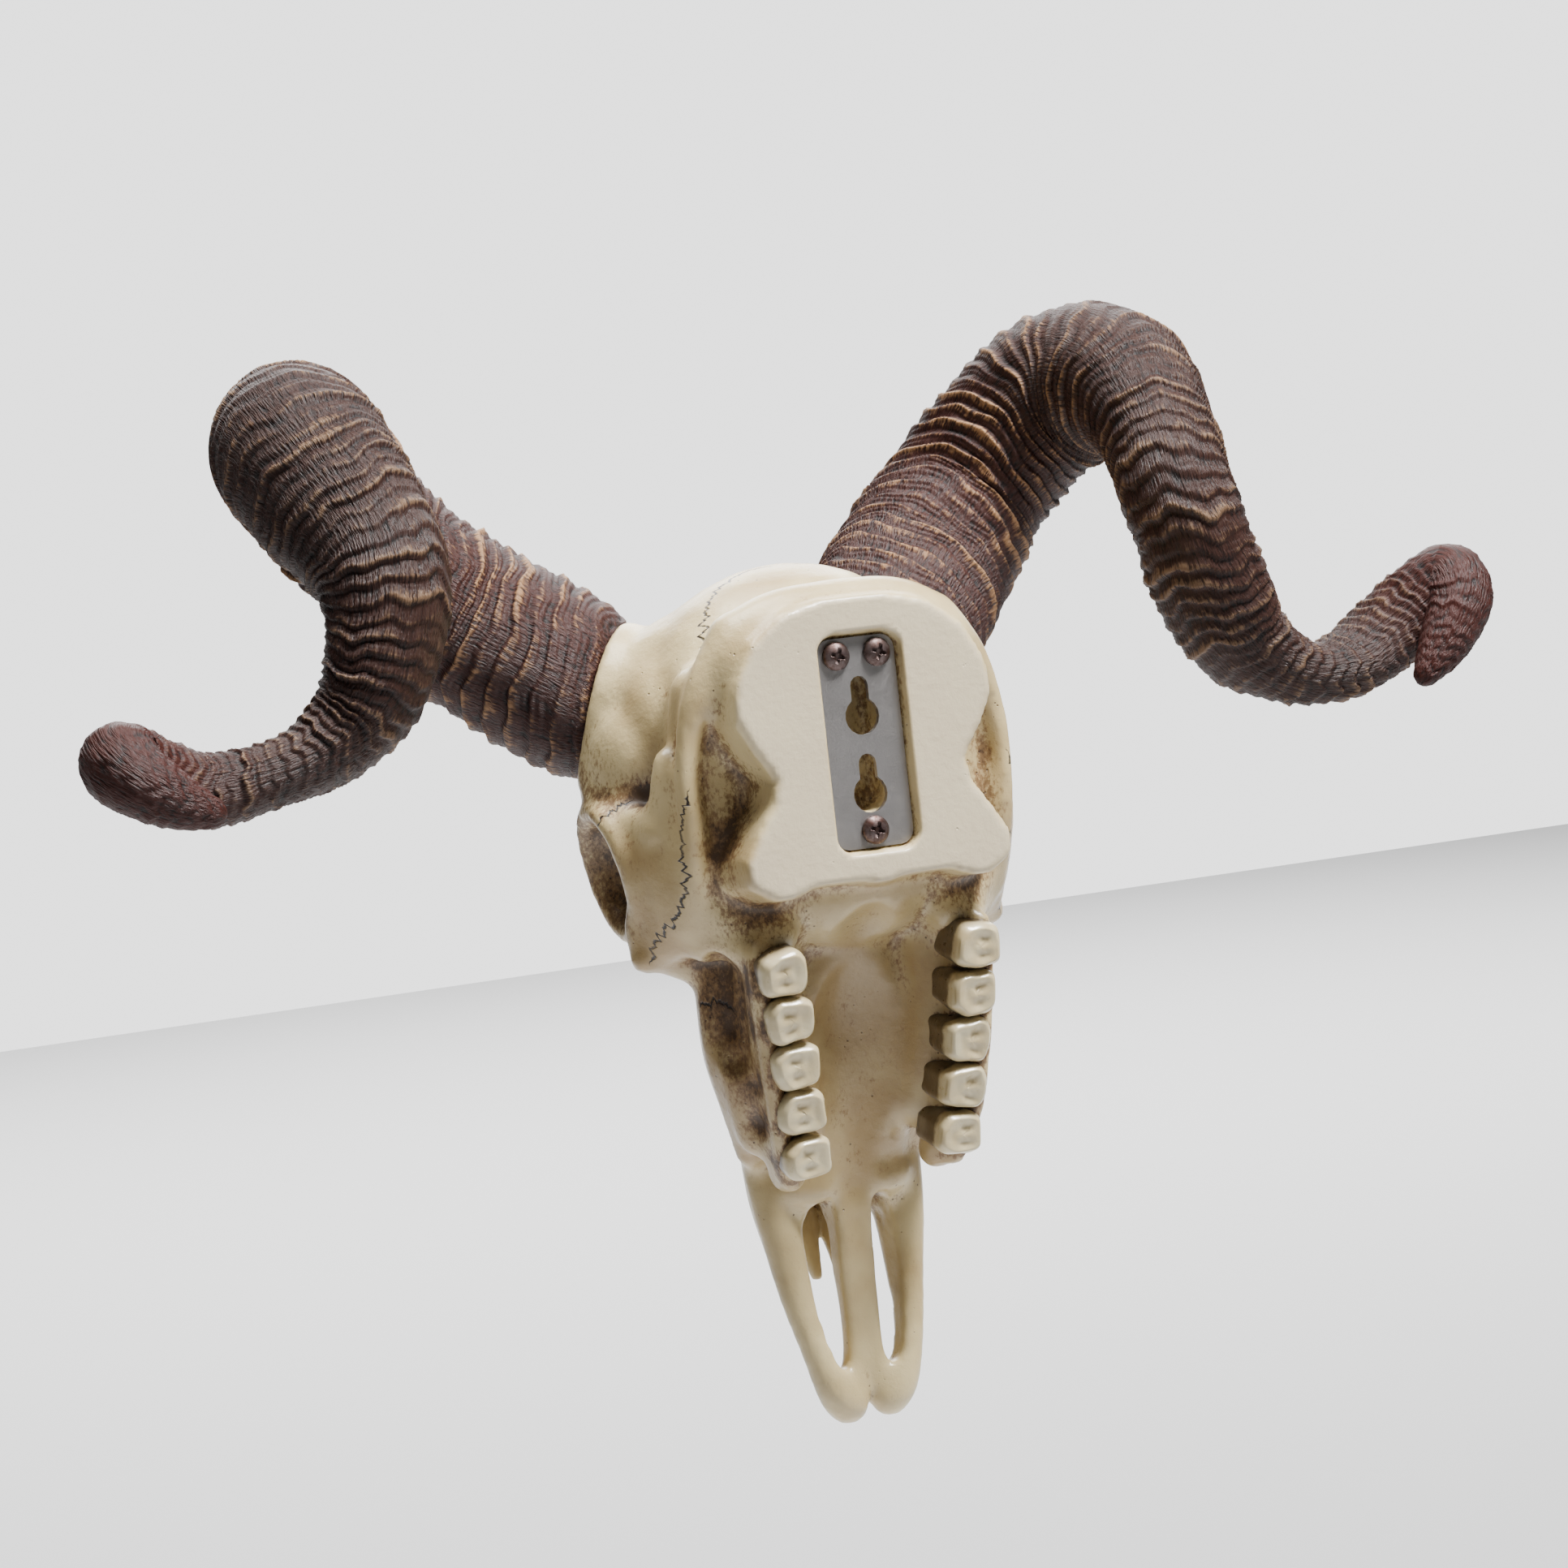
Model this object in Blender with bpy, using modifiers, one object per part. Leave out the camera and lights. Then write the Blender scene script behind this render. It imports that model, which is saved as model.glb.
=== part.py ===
"""Ram skull wall trophy: a cast resin skull with two horn castings and a keyhole hanger plate.

Metres, +Z up. The skull faces -Y and its flat back lies in the plane y = 0, where the wall is.
The origin is on the flat back, in the middle of the strip below the hanger's recess.
All sizes below are in millimetres, and left means the animal's left, which is +X.
"""

import math
import random

import bmesh
import bpy
import numpy as np
from mathutils import Matrix, Vector

MM = 0.001
GAP = 0.3
SEED = 11
# How far a cutter runs past the surface that it cuts, and the distance in metres within which
# points are merged
OVERRUN = 5.0
MERGE = 0.00001

# The flat back, half of its outline from the top middle to the bottom middle: x, z
BACK_OUTLINE = (
    (0, 76), (12, 75.5), (23, 72.5), (33, 65), (39, 54), (39.5, 44), (35, 35.5), (29.5, 28),
    (31, 21), (36, 14), (41, 6), (40.5, -1), (34, -5.5), (27, -5.5), (20, -3), (10, -3.2), (0, -4.5),
)
BACK_DEPTH = 20.0
BACK_FLARE = 1.03
BACK_OVERLAP = 4.0

# The hanger plate and its recess
PLATE_Z = 35.0
PLATE_WIDTH = 23.8
PLATE_HEIGHT = 58.4
PLATE_THICK = 1.6
PLATE_CORNER = 4.0
RECESS_DEPTH = 5.0
RECESS_MARGIN = 0.9
POCKET_DEPTH = 9.0
POCKET_WIDTH = 13.0
POCKET_HEIGHT = 41.0
POCKET_RISE = 1.5
POCKET_CORNER = 6.4
KEYHOLE_CENTRES = (7.2, -14.4)
KEYHOLE_RADIUS = 5.2
KEYHOLE_SLOT_WIDTH = 5.4
KEYHOLE_SLOT_RISE = 11.2

# The three pan head screws, from the plate's middle: x, z
SCREW_PLACES = {
    "screw_top_left": (6.3, 24.4),
    "screw_top_right": (-6.3, 24.4),
    "screw_bottom": (0.0, -24.4),
}
SCREW_HEAD_RADIUS = 4.0
SCREW_HEAD_HEIGHT = 2.4
SCREW_RIM_SHARE = 0.25
SCREW_SIDES = 20
SCREW_CROSS_LENGTH = 4.6
SCREW_CROSS_WIDTH = 1.0
SCREW_CROSS_DEPTH = 1.2

# The horn's centre line from the bone to the tip: x, y, height on the left horn and on the right
# horn, and the half widths seen from behind, from HORN_VIEW degrees outside it and inside it
HORN_LINE = (
    (40.5, -80.5, 51.5, 51.5, 25.0, 27.0),
    (56.8, -92.8, 65.0, 65.0, 25.8, 27.6),
    (72.6, -103.6, 79.6, 79.6, 24.0, 27.2),
    (89.2, -108.8, 96.1, 96.1, 22.6, 25.3),
    (98.0, -109.0, 105.2, 105.2, 22.6, 24.8),
    (106.0, -106.4, 114.4, 114.0, 23.6, 24.5),
    (114.0, -101.5, 123.2, 122.4, 24.4, 24.6),
    (120.8, -94.5, 129.8, 128.8, 24.5, 24.6),
    (125.8, -86.0, 133.0, 131.4, 24.4, 24.4),
    (128.6, -77.0, 132.8, 131.4, 24.3, 23.2),
    (130.0, -68.0, 129.4, 128.6, 24.3, 21.3),
    (129.8, -59.0, 123.4, 122.8, 23.8, 19.5),
    (128.4, -49.5, 115.6, 115.2, 22.6, 17.8),
    (126.4, -40.8, 106.6, 106.2, 20.8, 16.9),
    (124.6, -33.6, 96.9, 96.0, 19.0, 16.8),
    (125.4, -29.6, 85.8, 84.2, 17.6, 16.9),
    (128.0, -28.9, 74.5, 72.0, 16.0, 17.2),
    (132.5, -29.7, 63.6, 60.3, 14.3, 16.6),
    (139.8, -30.6, 55.0, 49.0, 12.2, 14.2),
    (149.7, -29.6, 49.3, 41.6, 9.9, 11.8),
    (161.0, -27.5, 45.8, 37.6, 8.7, 9.9),
    (173.0, -27.0, 43.4, 39.2, 8.5, 11.0),
    (184.7, -26.9, 43.6, 45.4, 9.2, 11.5),
    (196.6, -25.6, 48.0, 53.2, 10.6, 12.0),
    (206.2, -20.7, 52.6, 59.8, 11.2, 11.6),
    (204.2, -13.6, 47.8, 52.4, 9.8, 9.8),
    (194.5, -9.6, 41.0, 41.0, 7.2, 7.2),
    (184.0, -7.0, 36.5, 31.2, 2.8, 2.8),
)
HORN_VIEW = 25.0
HORN_SIDES = 16
HORN_STEP = 5.2
HORN_SAMPLES = 400
HORN_RIDGE = 0.028
HORN_KEEL = 0.05
HORN_LEAST_SPREAD = 0.3
HORN_CUTS = (0.22, 0.66)

# The rows of cheek teeth: centres of the first and last crown's biting face, x, y, z
TOOTH_COUNT = 5
TOOTH_FIRST = (30.0, -5.0, -26.2)
TOOTH_LAST = (23.6, -16.2, -79.0)
TOOTH_WIDTH = 14.0
TOOTH_LENGTH = 12.7
TOOTH_HEIGHT = 17.0
TOOTH_BEVEL = 2.6
TOOTH_SHORTENING = 0.015
TOOTH_TWIST = (2, 7)

# The eye sockets
ORBIT_CENTRE = (57.0, -57.0, 5.0)
ORBIT_AXIS = (0.97, -0.12, -0.21)
ORBIT_RADIUS = 18.5
ORBIT_RIM = 3.0

# How finely the bone is fused, and how many triangles it keeps before the teeth are added
VOXEL = 2.0
BONE_TRIANGLES = 6600

# Boxes that part the bone into its named pieces: middle, size, and turn about X in degrees
MUZZLE_BOX = ((0.0, -60.0, -151.0), (120.0, 120.0, 120.0), 0.0)
NOSE_BOX = ((0.0, -98.0, -42.0), (26.0, 40.0, 112.0), 11.0)
LEFT_SOCKET_BOX = ((74.5, -50.0, 3.0), (60.0, 110.0, 72.0), 16.0)
RIGHT_SOCKET_BOX = ((-74.5, -50.0, 3.0), (60.0, 110.0, 72.0), 16.0)
JAW_BOX = ((0.0, -72.4, -65.6), (160.0, 160.0, 120.0), -12.0)
WALL_BOX = ((0.0, 50.0, 0.0), (400.0, 100.0, 500.0))

# Round cut that leaves the flat seat for a horn
SEAT_RADIUS = 46.0
SEAT_DEPTH = 80.0

BONE_COLOUR = (0.72, 0.62, 0.44, 1.0)
TOOTH_BONE_COLOUR = (0.76, 0.68, 0.52, 1.0)
HORN_COLOUR = (0.10, 0.055, 0.042, 1.0)
HORN_TIP_COLOUR = (0.13, 0.055, 0.045, 1.0)
PLATE_COLOUR = (0.72, 0.70, 0.70, 1.0)
SCREW_COLOUR = (0.36, 0.30, 0.29, 1.0)


def clear_scene():
    for item in list(bpy.data.objects):
        bpy.data.objects.remove(item, do_unlink=True)


def new_collection(name):
    group = bpy.data.collections.new(name)
    bpy.context.scene.collection.children.link(group)
    return group


def material(name, colour, roughness, metallic=0.0):
    finish = bpy.data.materials.new(name)
    finish.use_nodes = True
    shader = finish.node_tree.nodes["Principled BSDF"]
    shader.inputs["Base Color"].default_value = colour
    shader.inputs["Roughness"].default_value = roughness
    shader.inputs["Metallic"].default_value = metallic
    finish.diffuse_color = colour
    return finish


def point(x, y, z):
    return Vector((x, y, z)) * MM


def add_object(name, mesh, group):
    item = bpy.data.objects.new(name, mesh)
    group.objects.link(item)
    return item


def remove_object(item):
    mesh = item.data
    bpy.data.objects.remove(item, do_unlink=True)
    if mesh.users == 0:
        bpy.data.meshes.remove(mesh)


def mesh_from_bmesh(name, bm):
    bmesh.ops.recalc_face_normals(bm, faces=bm.faces)
    mesh = bpy.data.meshes.new(name)
    bm.to_mesh(mesh)
    bm.free()
    return mesh


def apply_modifiers(item):
    """Replace an object's mesh by its evaluated one."""
    depsgraph = bpy.context.evaluated_depsgraph_get()
    mesh = bpy.data.meshes.new_from_object(item.evaluated_get(depsgraph))
    old = item.data
    item.modifiers.clear()
    item.data = mesh
    if old.users == 0:
        bpy.data.meshes.remove(old)


def keep_largest(item):
    """Keep only the closed surface with the largest area."""
    bm = bmesh.new()
    bm.from_mesh(item.data)
    bmesh.ops.remove_doubles(bm, verts=bm.verts, dist=MERGE)
    unseen = set(bm.faces)
    shells = []
    while unseen:
        shell = set()
        front = [unseen.pop()]
        while front:
            face = front.pop()
            shell.add(face)
            for edge in face.edges:
                for other in edge.link_faces:
                    if other in unseen:
                        unseen.remove(other)
                        front.append(other)
        shells.append(shell)
    largest = max(shells, key=lambda shell: sum(face.calc_area() for face in shell))
    loose = [face for face in bm.faces if face not in largest]
    bmesh.ops.delete(bm, geom=loose, context="FACES")
    bm.to_mesh(item.data)
    bm.free()


def boolean(item, other, operation):
    """Union, difference or intersection with one object, or with a collection's objects."""
    cut = item.modifiers.new("boolean", "BOOLEAN")
    cut.operation = operation
    cut.solver = "EXACT"
    if isinstance(other, bpy.types.Collection):
        cut.operand_type = "COLLECTION"
        cut.collection = other
    else:
        cut.object = other
    apply_modifiers(item)


def smooth_line(points, count):
    """Points at equal steps of a Catmull-Rom curve through the given points."""
    knots = np.array(points, dtype=float)
    ends = np.vstack([2 * knots[0] - knots[1], knots, 2 * knots[-1] - knots[-2]])
    fine = []
    for i in range(len(knots) - 1):
        p0, p1, p2, p3 = ends[i:i + 4]
        t = np.linspace(0, 1, 24, endpoint=False)[:, None]
        fine.append(0.5 * (2 * p1 + (p2 - p0) * t + (2 * p0 - 5 * p1 + 4 * p2 - p3) * t**2
                           + (3 * p1 - p0 - 3 * p2 + p3) * t**3))
    fine = np.vstack(fine + [knots[-1:]])
    along = np.r_[0, np.cumsum(np.linalg.norm(np.diff(fine[:, :3], axis=0), axis=1))]
    wanted = np.linspace(0, along[-1], count)
    return np.column_stack([np.interp(wanted, along, fine[:, k]) for k in range(fine.shape[1])])


def loft(name, rings, group):
    """A closed skin over rings of equal point counts, capped at both ends."""
    bm = bmesh.new()
    loops = [[bm.verts.new(Vector(p) * MM) for p in ring] for ring in rings]
    sides = len(rings[0])
    for low, high in zip(loops, loops[1:]):
        for k in range(sides):
            bm.faces.new((low[k], low[(k + 1) % sides], high[(k + 1) % sides], high[k]))
    bm.faces.new(loops[0][::-1])
    bm.faces.new(loops[-1])
    return add_object(name, mesh_from_bmesh(name, bm), group)


def ball(group, centre, radii, turn=(0, 0, 0)):
    """An ellipsoid; turn is in degrees about X, Y and Z."""
    bm = bmesh.new()
    bmesh.ops.create_uvsphere(bm, u_segments=24, v_segments=14, radius=1.0)
    spin = Matrix.Rotation(math.radians(turn[2]), 4, "Z")
    spin = spin @ Matrix.Rotation(math.radians(turn[1]), 4, "Y")
    spin = spin @ Matrix.Rotation(math.radians(turn[0]), 4, "X")
    size = Matrix.Diagonal((radii[0] * MM, radii[1] * MM, radii[2] * MM, 1.0))
    bmesh.ops.transform(bm, matrix=Matrix.Translation(point(*centre)) @ spin @ size, verts=bm.verts)
    return add_object("form", mesh_from_bmesh("form", bm), group)


def limb(group, stations, steps=12, squash=1.0):
    """A round-ended limb through stations of x, y, z, radius; squash flattens it along Y."""
    line = smooth_line(stations, steps)
    curve = bpy.data.curves.new("limb", "CURVE")
    curve.dimensions = "3D"
    curve.bevel_depth = MM
    curve.bevel_resolution = 3
    curve.use_fill_caps = True
    spline = curve.splines.new("POLY")
    spline.points.add(len(line) - 1)
    for knot, (x, y, z, radius) in zip(spline.points, line):
        knot.co = (x * MM, y * MM / squash, z * MM, 1.0)
        knot.radius = radius
    item = add_object("limb", curve, group)
    depsgraph = bpy.context.evaluated_depsgraph_get()
    mesh = bpy.data.meshes.new_from_object(item.evaluated_get(depsgraph))
    bpy.data.objects.remove(item, do_unlink=True)
    bm = bmesh.new()
    bm.from_mesh(mesh)
    bmesh.ops.remove_doubles(bm, verts=bm.verts, dist=MERGE)
    bmesh.ops.scale(bm, vec=(1.0, squash, 1.0), verts=bm.verts)
    bmesh.ops.recalc_face_normals(bm, faces=bm.faces)
    bm.to_mesh(mesh)
    bm.free()
    body = add_object("form", mesh, group)
    for x, y, z, radius in (line[0], line[-1]):
        ball(group, (x, y, z), (radius, radius * squash, radius))
    return body


def both_sides(maker, group, stations, **options):
    """Make a limb on the left and its mirror image on the right."""
    for side in (1, -1):
        maker(group, [(side * s[0],) + tuple(s[1:]) for s in stations], **options)


def both_balls(group, centre, radii, turn=(0, 0, 0)):
    for side in (1, -1):
        ball(group, (side * centre[0], centre[1], centre[2]), radii,
             (turn[0], side * turn[1], side * turn[2]))


def box(name, group, centre, size, turn_x=0.0):
    """A box with a turn about X in degrees."""
    bm = bmesh.new()
    bmesh.ops.create_cube(bm, size=1.0)
    shape = Matrix.Translation(point(*centre)) @ Matrix.Rotation(math.radians(turn_x), 4, "X")
    shape = shape @ Matrix.Diagonal((size[0] * MM, size[1] * MM, size[2] * MM, 1.0))
    bmesh.ops.transform(bm, matrix=shape, verts=bm.verts)
    return add_object(name, mesh_from_bmesh(name, bm), group)


def outline_plate(name, group, outline, y_front, y_back):
    """A flat plate between two planes of constant y, from a closed outline of x, z."""
    curve = bpy.data.curves.new(name, "CURVE")
    curve.dimensions = "2D"
    curve.fill_mode = "BOTH"
    curve.extrude = abs(y_back - y_front) / 2 * MM
    spline = curve.splines.new("POLY")
    spline.points.add(len(outline) - 1)
    for knot, (x, z) in zip(spline.points, outline):
        knot.co = (x * MM, z * MM, 0.0, 1.0)
    spline.use_cyclic_u = True
    item = add_object(name, curve, group)
    depsgraph = bpy.context.evaluated_depsgraph_get()
    mesh = bpy.data.meshes.new_from_object(item.evaluated_get(depsgraph))
    bpy.data.objects.remove(item, do_unlink=True)
    bm = bmesh.new()
    bm.from_mesh(mesh)
    bmesh.ops.remove_doubles(bm, verts=bm.verts, dist=MERGE)
    stand = Matrix.Translation(point(0, (y_front + y_back) / 2, 0)) @ Matrix.Rotation(math.pi / 2, 4, "X")
    bmesh.ops.transform(bm, matrix=stand, verts=bm.verts)
    bmesh.ops.recalc_face_normals(bm, faces=bm.faces)
    bm.to_mesh(mesh)
    bm.free()
    return add_object(name, mesh, group)


def arc(cx, cz, radius, start, end, count):
    angles = [math.radians(start + (end - start) * k / (count - 1)) for k in range(count)]
    return [(cx + radius * math.cos(a), cz + radius * math.sin(a)) for a in angles]


def rounded_rectangle(cx, cz, width, height, corner, count=5):
    x = width / 2 - corner
    z = height / 2 - corner
    return (arc(cx + x, cz + z, corner, 0, 90, count) + arc(cx - x, cz + z, corner, 90, 180, count)
            + arc(cx - x, cz - z, corner, 180, 270, count) + arc(cx + x, cz - z, corner, 270, 360, count))


def keyhole_outline(z):
    """A round hole with a slot that rises from it to a round top."""
    half = KEYHOLE_SLOT_WIDTH / 2
    meet = math.degrees(math.acos(half / KEYHOLE_RADIUS))
    hole = arc(0, z, KEYHOLE_RADIUS, 180 - meet, 360 + meet, 15)
    top = arc(0, z + KEYHOLE_SLOT_RISE - half, half, 0, 180, 7)
    return hole + top


def face_section(z, y_rear, y_front, half_width, nose_half_width, sides=28):
    """A section of the face: widest behind its middle and narrower towards the nose bridge."""
    middle = (y_rear + y_front) / 2
    half_depth = (y_rear - y_front) / 2
    ring = []
    for k in range(sides):
        a = 2 * math.pi * k / sides
        forward = (1 - math.cos(a)) / 2
        width = half_width + (nose_half_width - half_width) * forward**1.5
        x = math.copysign(abs(math.sin(a))**0.8, math.sin(a)) * width
        y = middle + math.copysign(abs(math.cos(a))**0.8, math.cos(a)) * half_depth
        ring.append((x, y, z))
    return ring


def bone_forms(group):
    """The swelling forms of the skull, which overlap and are fused afterwards."""
    # Braincase, forehead and the bosses that carry the horns
    ball(group, (0, -48, 37), (50, 43, 50))
    ball(group, (0, -62, 22), (44, 36, 50))
    both_sides(limb, group, [(20, -56, 50, 28), (34, -70, 48, 25.5), (50, -88, 57, 23.5)])
    # Shoulder of the dome round the upper edge of the flat back
    both_sides(limb, group, [(0, -13, 71, 10), (16, -13, 70, 10), (26, -13, 66, 10), (33, -13.5, 60, 9),
                             (36.5, -15, 52, 7)])
    # Face from the brow to the front of the palate
    loft("face", [
        face_section(34, -22, -100, 44, 36),
        face_section(12, -26, -98, 42, 32),
        face_section(-8, -27, -95, 37, 26),
        face_section(-22, -27, -92, 32, 20),
        face_section(-34, -27, -89, 31, 17),
        face_section(-54, -30, -85, 32, 15),
        face_section(-72, -35, -80, 29, 14),
        face_section(-88, -41, -76, 23, 12),
        face_section(-100, -45, -71, 18, 9),
    ], group)
    # Rim of the skull behind the temple, down to the cheek
    both_sides(limb, group, [(30, -15, 66, 9), (40.5, -15, 56, 5.6), (46.6, -16.5, 44, 3.8),
                             (48.8, -17, 32, 3.3), (48.6, -17.5, 18, 3.4), (47.5, -22, 2, 4),
                             (44, -29, -10, 5.5), (41, -32, -17, 5.5)])
    # Cheekbone between the eye socket and the jaw
    both_balls(group, (46, -47, -8), (10, 16, 13))
    both_balls(group, (49, -45, 4), (10, 13, 20))
    both_sides(limb, group, [(54, -45, -6, 5.5), (52, -47, -15, 6.5), (45, -46, -19, 7),
                             (35, -46, -23, 7)])
    both_sides(limb, group, [(51, -32, 22, 5), (52, -32, 8, 6), (50, -34, -6, 6),
                             (46, -36, -13, 6.5)])
    both_sides(limb, group, [(58, -44, 16, 4), (56, -42, 4, 4.5), (52, -43, -8, 5.5)])
    both_sides(limb, group, [(47, -24, 22, 5), (47.5, -24.5, 12, 6), (47, -26, 0, 6.2), (46, -30, -9, 6.5)])
    both_sides(limb, group, [(53, -38, 16, 5.5), (53.5, -37, 6, 6), (51, -38.5, -6, 6.5), (49, -40, -14, 7)])
    both_balls(group, (53.5, -46, -19.5), (5.5, 6.5, 4.5))
    # Bulb behind the eye socket, and the bridge from it to the socket's upper rim
    both_balls(group, (52.5, -31.5, 17), (6, 7.5, 6))
    both_sides(limb, group, [(52, -34, 17, 6), (55, -42, 19.5, 4.6), (58.5, -50, 20.5, 4.2)])
    # Underside of the horn boss, down to the brow
    both_balls(group, (38, -52, 42), (15, 21, 24))
    both_balls(group, (45, -57, 35), (15, 19, 20))
    both_sides(limb, group, [(48, -70, 41, 13), (51.5, -63, 31, 10), (55, -58, 24, 7)])
    both_sides(limb, group, [(46, -53, 38, 10), (49.5, -51, 28, 9), (55, -50, 18, 6.5)])
    # Floor of the temple hollow
    both_balls(group, (35, -40, 14), (14, 20, 30))
    both_sides(limb, group, [(37, -25, 52, 10), (37.5, -27.5, 34, 11), (38, -29.5, 16, 12), (38, -30, 2, 12),
                             (36, -28.5, -8, 11), (28, -24, -13, 10)])
    # Brow over the eye socket, down from the horn boss
    both_sides(limb, group, [(44, -74, 36, 12), (50, -68, 26, 9), (53, -62, 22, 6)])
    # Pointed process that stands up behind the eye socket
    both_sides(limb, group, [(50, -31, 10, 6), (51, -28, 22, 5.2), (50.8, -26.5, 31, 4.4),
                             (50.6, -26, 36.5, 3.3)])
    # Bridge from the cheek past the temple hollow to the tooth row
    both_sides(limb, group, [(43, -32, -15, 6), (38, -26, -17, 5.5), (33, -20, -17.5, 5.5),
                             (26, -17, -15.5, 6)])
    both_sides(limb, group, [(24, -19, -6, 7), (27, -20, -13, 7), (29, -23, -20, 7)])
    # Tooth sockets, and the lip along their outer side
    both_sides(limb, group, [(31, -19, -19, 6), (31, -19.5, -30, 6), (29, -23.5, -52, 6),
                             (26.5, -28, -72, 6), (23.5, -34, -84, 5.5)])
    both_sides(limb, group, [(35, -13, -19, 3), (35.2, -13.5, -30, 3), (33.2, -17, -52, 3),
                             (30.4, -21, -72, 3), (26, -27.5, -86, 3)])
    both_sides(limb, group, [(34, -35, -51, 7), (32, -36, -60, 7), (29, -38, -72, 6.5)])
    # Wall between the palate and the hollows beside the teeth
    both_sides(limb, group, [(25, -30, -18, 9.5), (25.5, -31, -32, 9.5), (24.5, -33, -50, 9.5),
                             (21.5, -38, -68, 9)])
    # Cheek wall in front of the hollows, and the facial crest on it
    both_sides(limb, group, [(32, -44, -18, 8.5), (32, -44.5, -46, 8.5), (28, -47, -64, 7.5)])
    both_sides(limb, group, [(36.5, -41, -26, 5), (37, -41, -46, 5), (33, -43, -62, 5),
                             (27, -49, -78, 5)])
    # Middle of the throat, between the flat back and the palate
    ball(group, (0, -30, -6), (30, 22, 16))


def flat_back(group):
    """The flat back, slightly wider where it joins the bone; it reaches past the wall plane."""
    outline = list(BACK_OUTLINE) + [(-x, z) for x, z in BACK_OUTLINE[-2:0:-1]]
    middle = sum(z for _, z in outline) / len(outline)
    rings = []
    for y, flare in ((-BACK_DEPTH, BACK_FLARE), (-BACK_DEPTH / 3, 1.0), (BACK_OVERLAP, 1.0)):
        rings.append([(x * flare, y, middle + (z - middle) * flare) for x, z in outline])
    loft("flat_back", rings, group)


def orbit_rims(group):
    """Rings round the eye sockets, which face outwards, slightly forwards and down the face."""
    for side in (1, -1):
        bpy.ops.mesh.primitive_torus_add(major_radius=ORBIT_RADIUS * MM, minor_radius=ORBIT_RIM * MM,
                                         major_segments=32, minor_segments=10)
        ring = bpy.context.active_object
        axis = Vector((side * ORBIT_AXIS[0], ORBIT_AXIS[1], ORBIT_AXIS[2]))
        turn = axis.to_track_quat("Z", "Y").to_matrix().to_4x4()
        centre = point(side * ORBIT_CENTRE[0], ORBIT_CENTRE[1], ORBIT_CENTRE[2])
        ring.data.transform(Matrix.Translation(centre) @ turn)
        for owner in list(ring.users_collection):
            owner.objects.unlink(ring)
        group.objects.link(ring)
    both_balls(group, (45, -58, 4), (13, 19, 19))


def muzzle_forms(group):
    """The incisor bones: two outer prongs and a middle bar, which meet at the tip."""
    both_sides(limb, group, [(21, -55, -78, 7), (20.3, -53, -96, 6.6), (17.8, -50.5, -118, 5.6),
                             (14.2, -47.5, -136, 5.2), (10, -46.5, -149, 6.2), (6.8, -47.5, -153.5, 6.2)])
    both_sides(limb, group, [(17, -66, -80, 6), (18.5, -62, -96, 5.2), (17.5, -56, -112, 4.6),
                             (15.5, -52, -124, 4)])
    both_sides(limb, group, [(3.4, -47, -92, 5.4), (2.6, -47.5, -110, 4.8), (2.2, -47.5, -130, 4.2),
                             (3.2, -47.5, -144, 4.4), (5.5, -47.5, -150, 5)])
    ball(group, (0, -47, -90), (22, 8, 8))


def nasal_forms(group):
    """The two nose bones, which end in points over the nostril opening."""
    both_sides(limb, group, [(7, -88, 0, 9), (7, -84, -40, 8.5), (6.5, -77, -74, 7.5),
                             (5.5, -71.5, -98, 5.5), (4.4, -67, -112, 3.4), (3.8, -65, -119, 2.2)])


def hollow_forms(group):
    """Cutters for the eye sockets, temples, palate, cheeks, nostrils and muzzle slots."""
    # Eye sockets
    both_balls(group, (ORBIT_CENTRE[0] + 4, ORBIT_CENTRE[1] - 1, ORBIT_CENTRE[2] - 1), (19, 14.8, 15.4))
    # Temple hollows between the rim and the flat back
    both_sides(limb, group, [(45, 2, 70, 3), (42.5, 0.5, 62, 5.5), (40.5, -0.5, 53, 9), (39, -1.5, 43, 12),
                             (38, -2.5, 31, 13.8), (37.5, -3.5, 18, 14), (38, -5.5, 3, 12.5),
                             (35.5, -7, -6, 9.5), (29, -7.5, -9.5, 6.5), (21, -6.5, -10, 5)])
    # Notch between the horn boss and the eye socket
    both_balls(group, (70.5, -55, 27.5), (9, 15, 3.5))
    # Palate, a channel between the tooth rows
    limb(group, [(0, 0, -12, 6), (0, -8, -22, 14), (0, -12.5, -32, 18), (0, -16, -44, 20),
                 (0, -20, -60, 19), (0, -25, -78, 17), (0, -31, -93, 13)], squash=0.9)
    # Hollows beside the tooth rows
    both_sides(limb, group, [(41.5, -26, -23, 5), (43, -27, -31, 7.2), (42.5, -28.5, -41, 7.6),
                             (39.5, -29, -49, 5.5)])
    both_balls(group, (37, -25.5, -57.5), (4, 4, 4.5))
    both_balls(group, (34, -29.5, -69), (3.5, 3.5, 5.5))
    # Nostril opening behind the nose bones
    limb(group, [(0, -63, -84, 7), (0, -63, -96, 9), (0, -66, -112, 12), (0, -70, -128, 14)])
    both_sides(limb, group, [(20, -72, -112, 9), (20, -66, -128, 10), (18, -62, -142, 9)])
    # Slots between the prongs and the middle bar
    both_sides(limb, group, [(8.8, -48, -97, 3.2), (9.6, -49, -106, 4.4), (9.6, -49, -118, 4.3),
                             (9.0, -48.5, -132, 3.7), (7.9, -48, -142, 2.5)], squash=3.5)
    # Notch between the two tips
    limb(group, [(0, -50, -151, 0.8), (0, -50, -163, 1.8)], steps=3, squash=9)


def join_forms(name, group, target):
    """Join a collection's closed forms into one object and fuse them on a fine grid."""
    bm = bmesh.new()
    for item in list(group.objects):
        bm.from_mesh(item.data)
    mesh = bpy.data.meshes.new(name)
    bm.to_mesh(mesh)
    bm.free()
    for item in list(group.objects):
        remove_object(item)
    return add_object(name, mesh, target)


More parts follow.
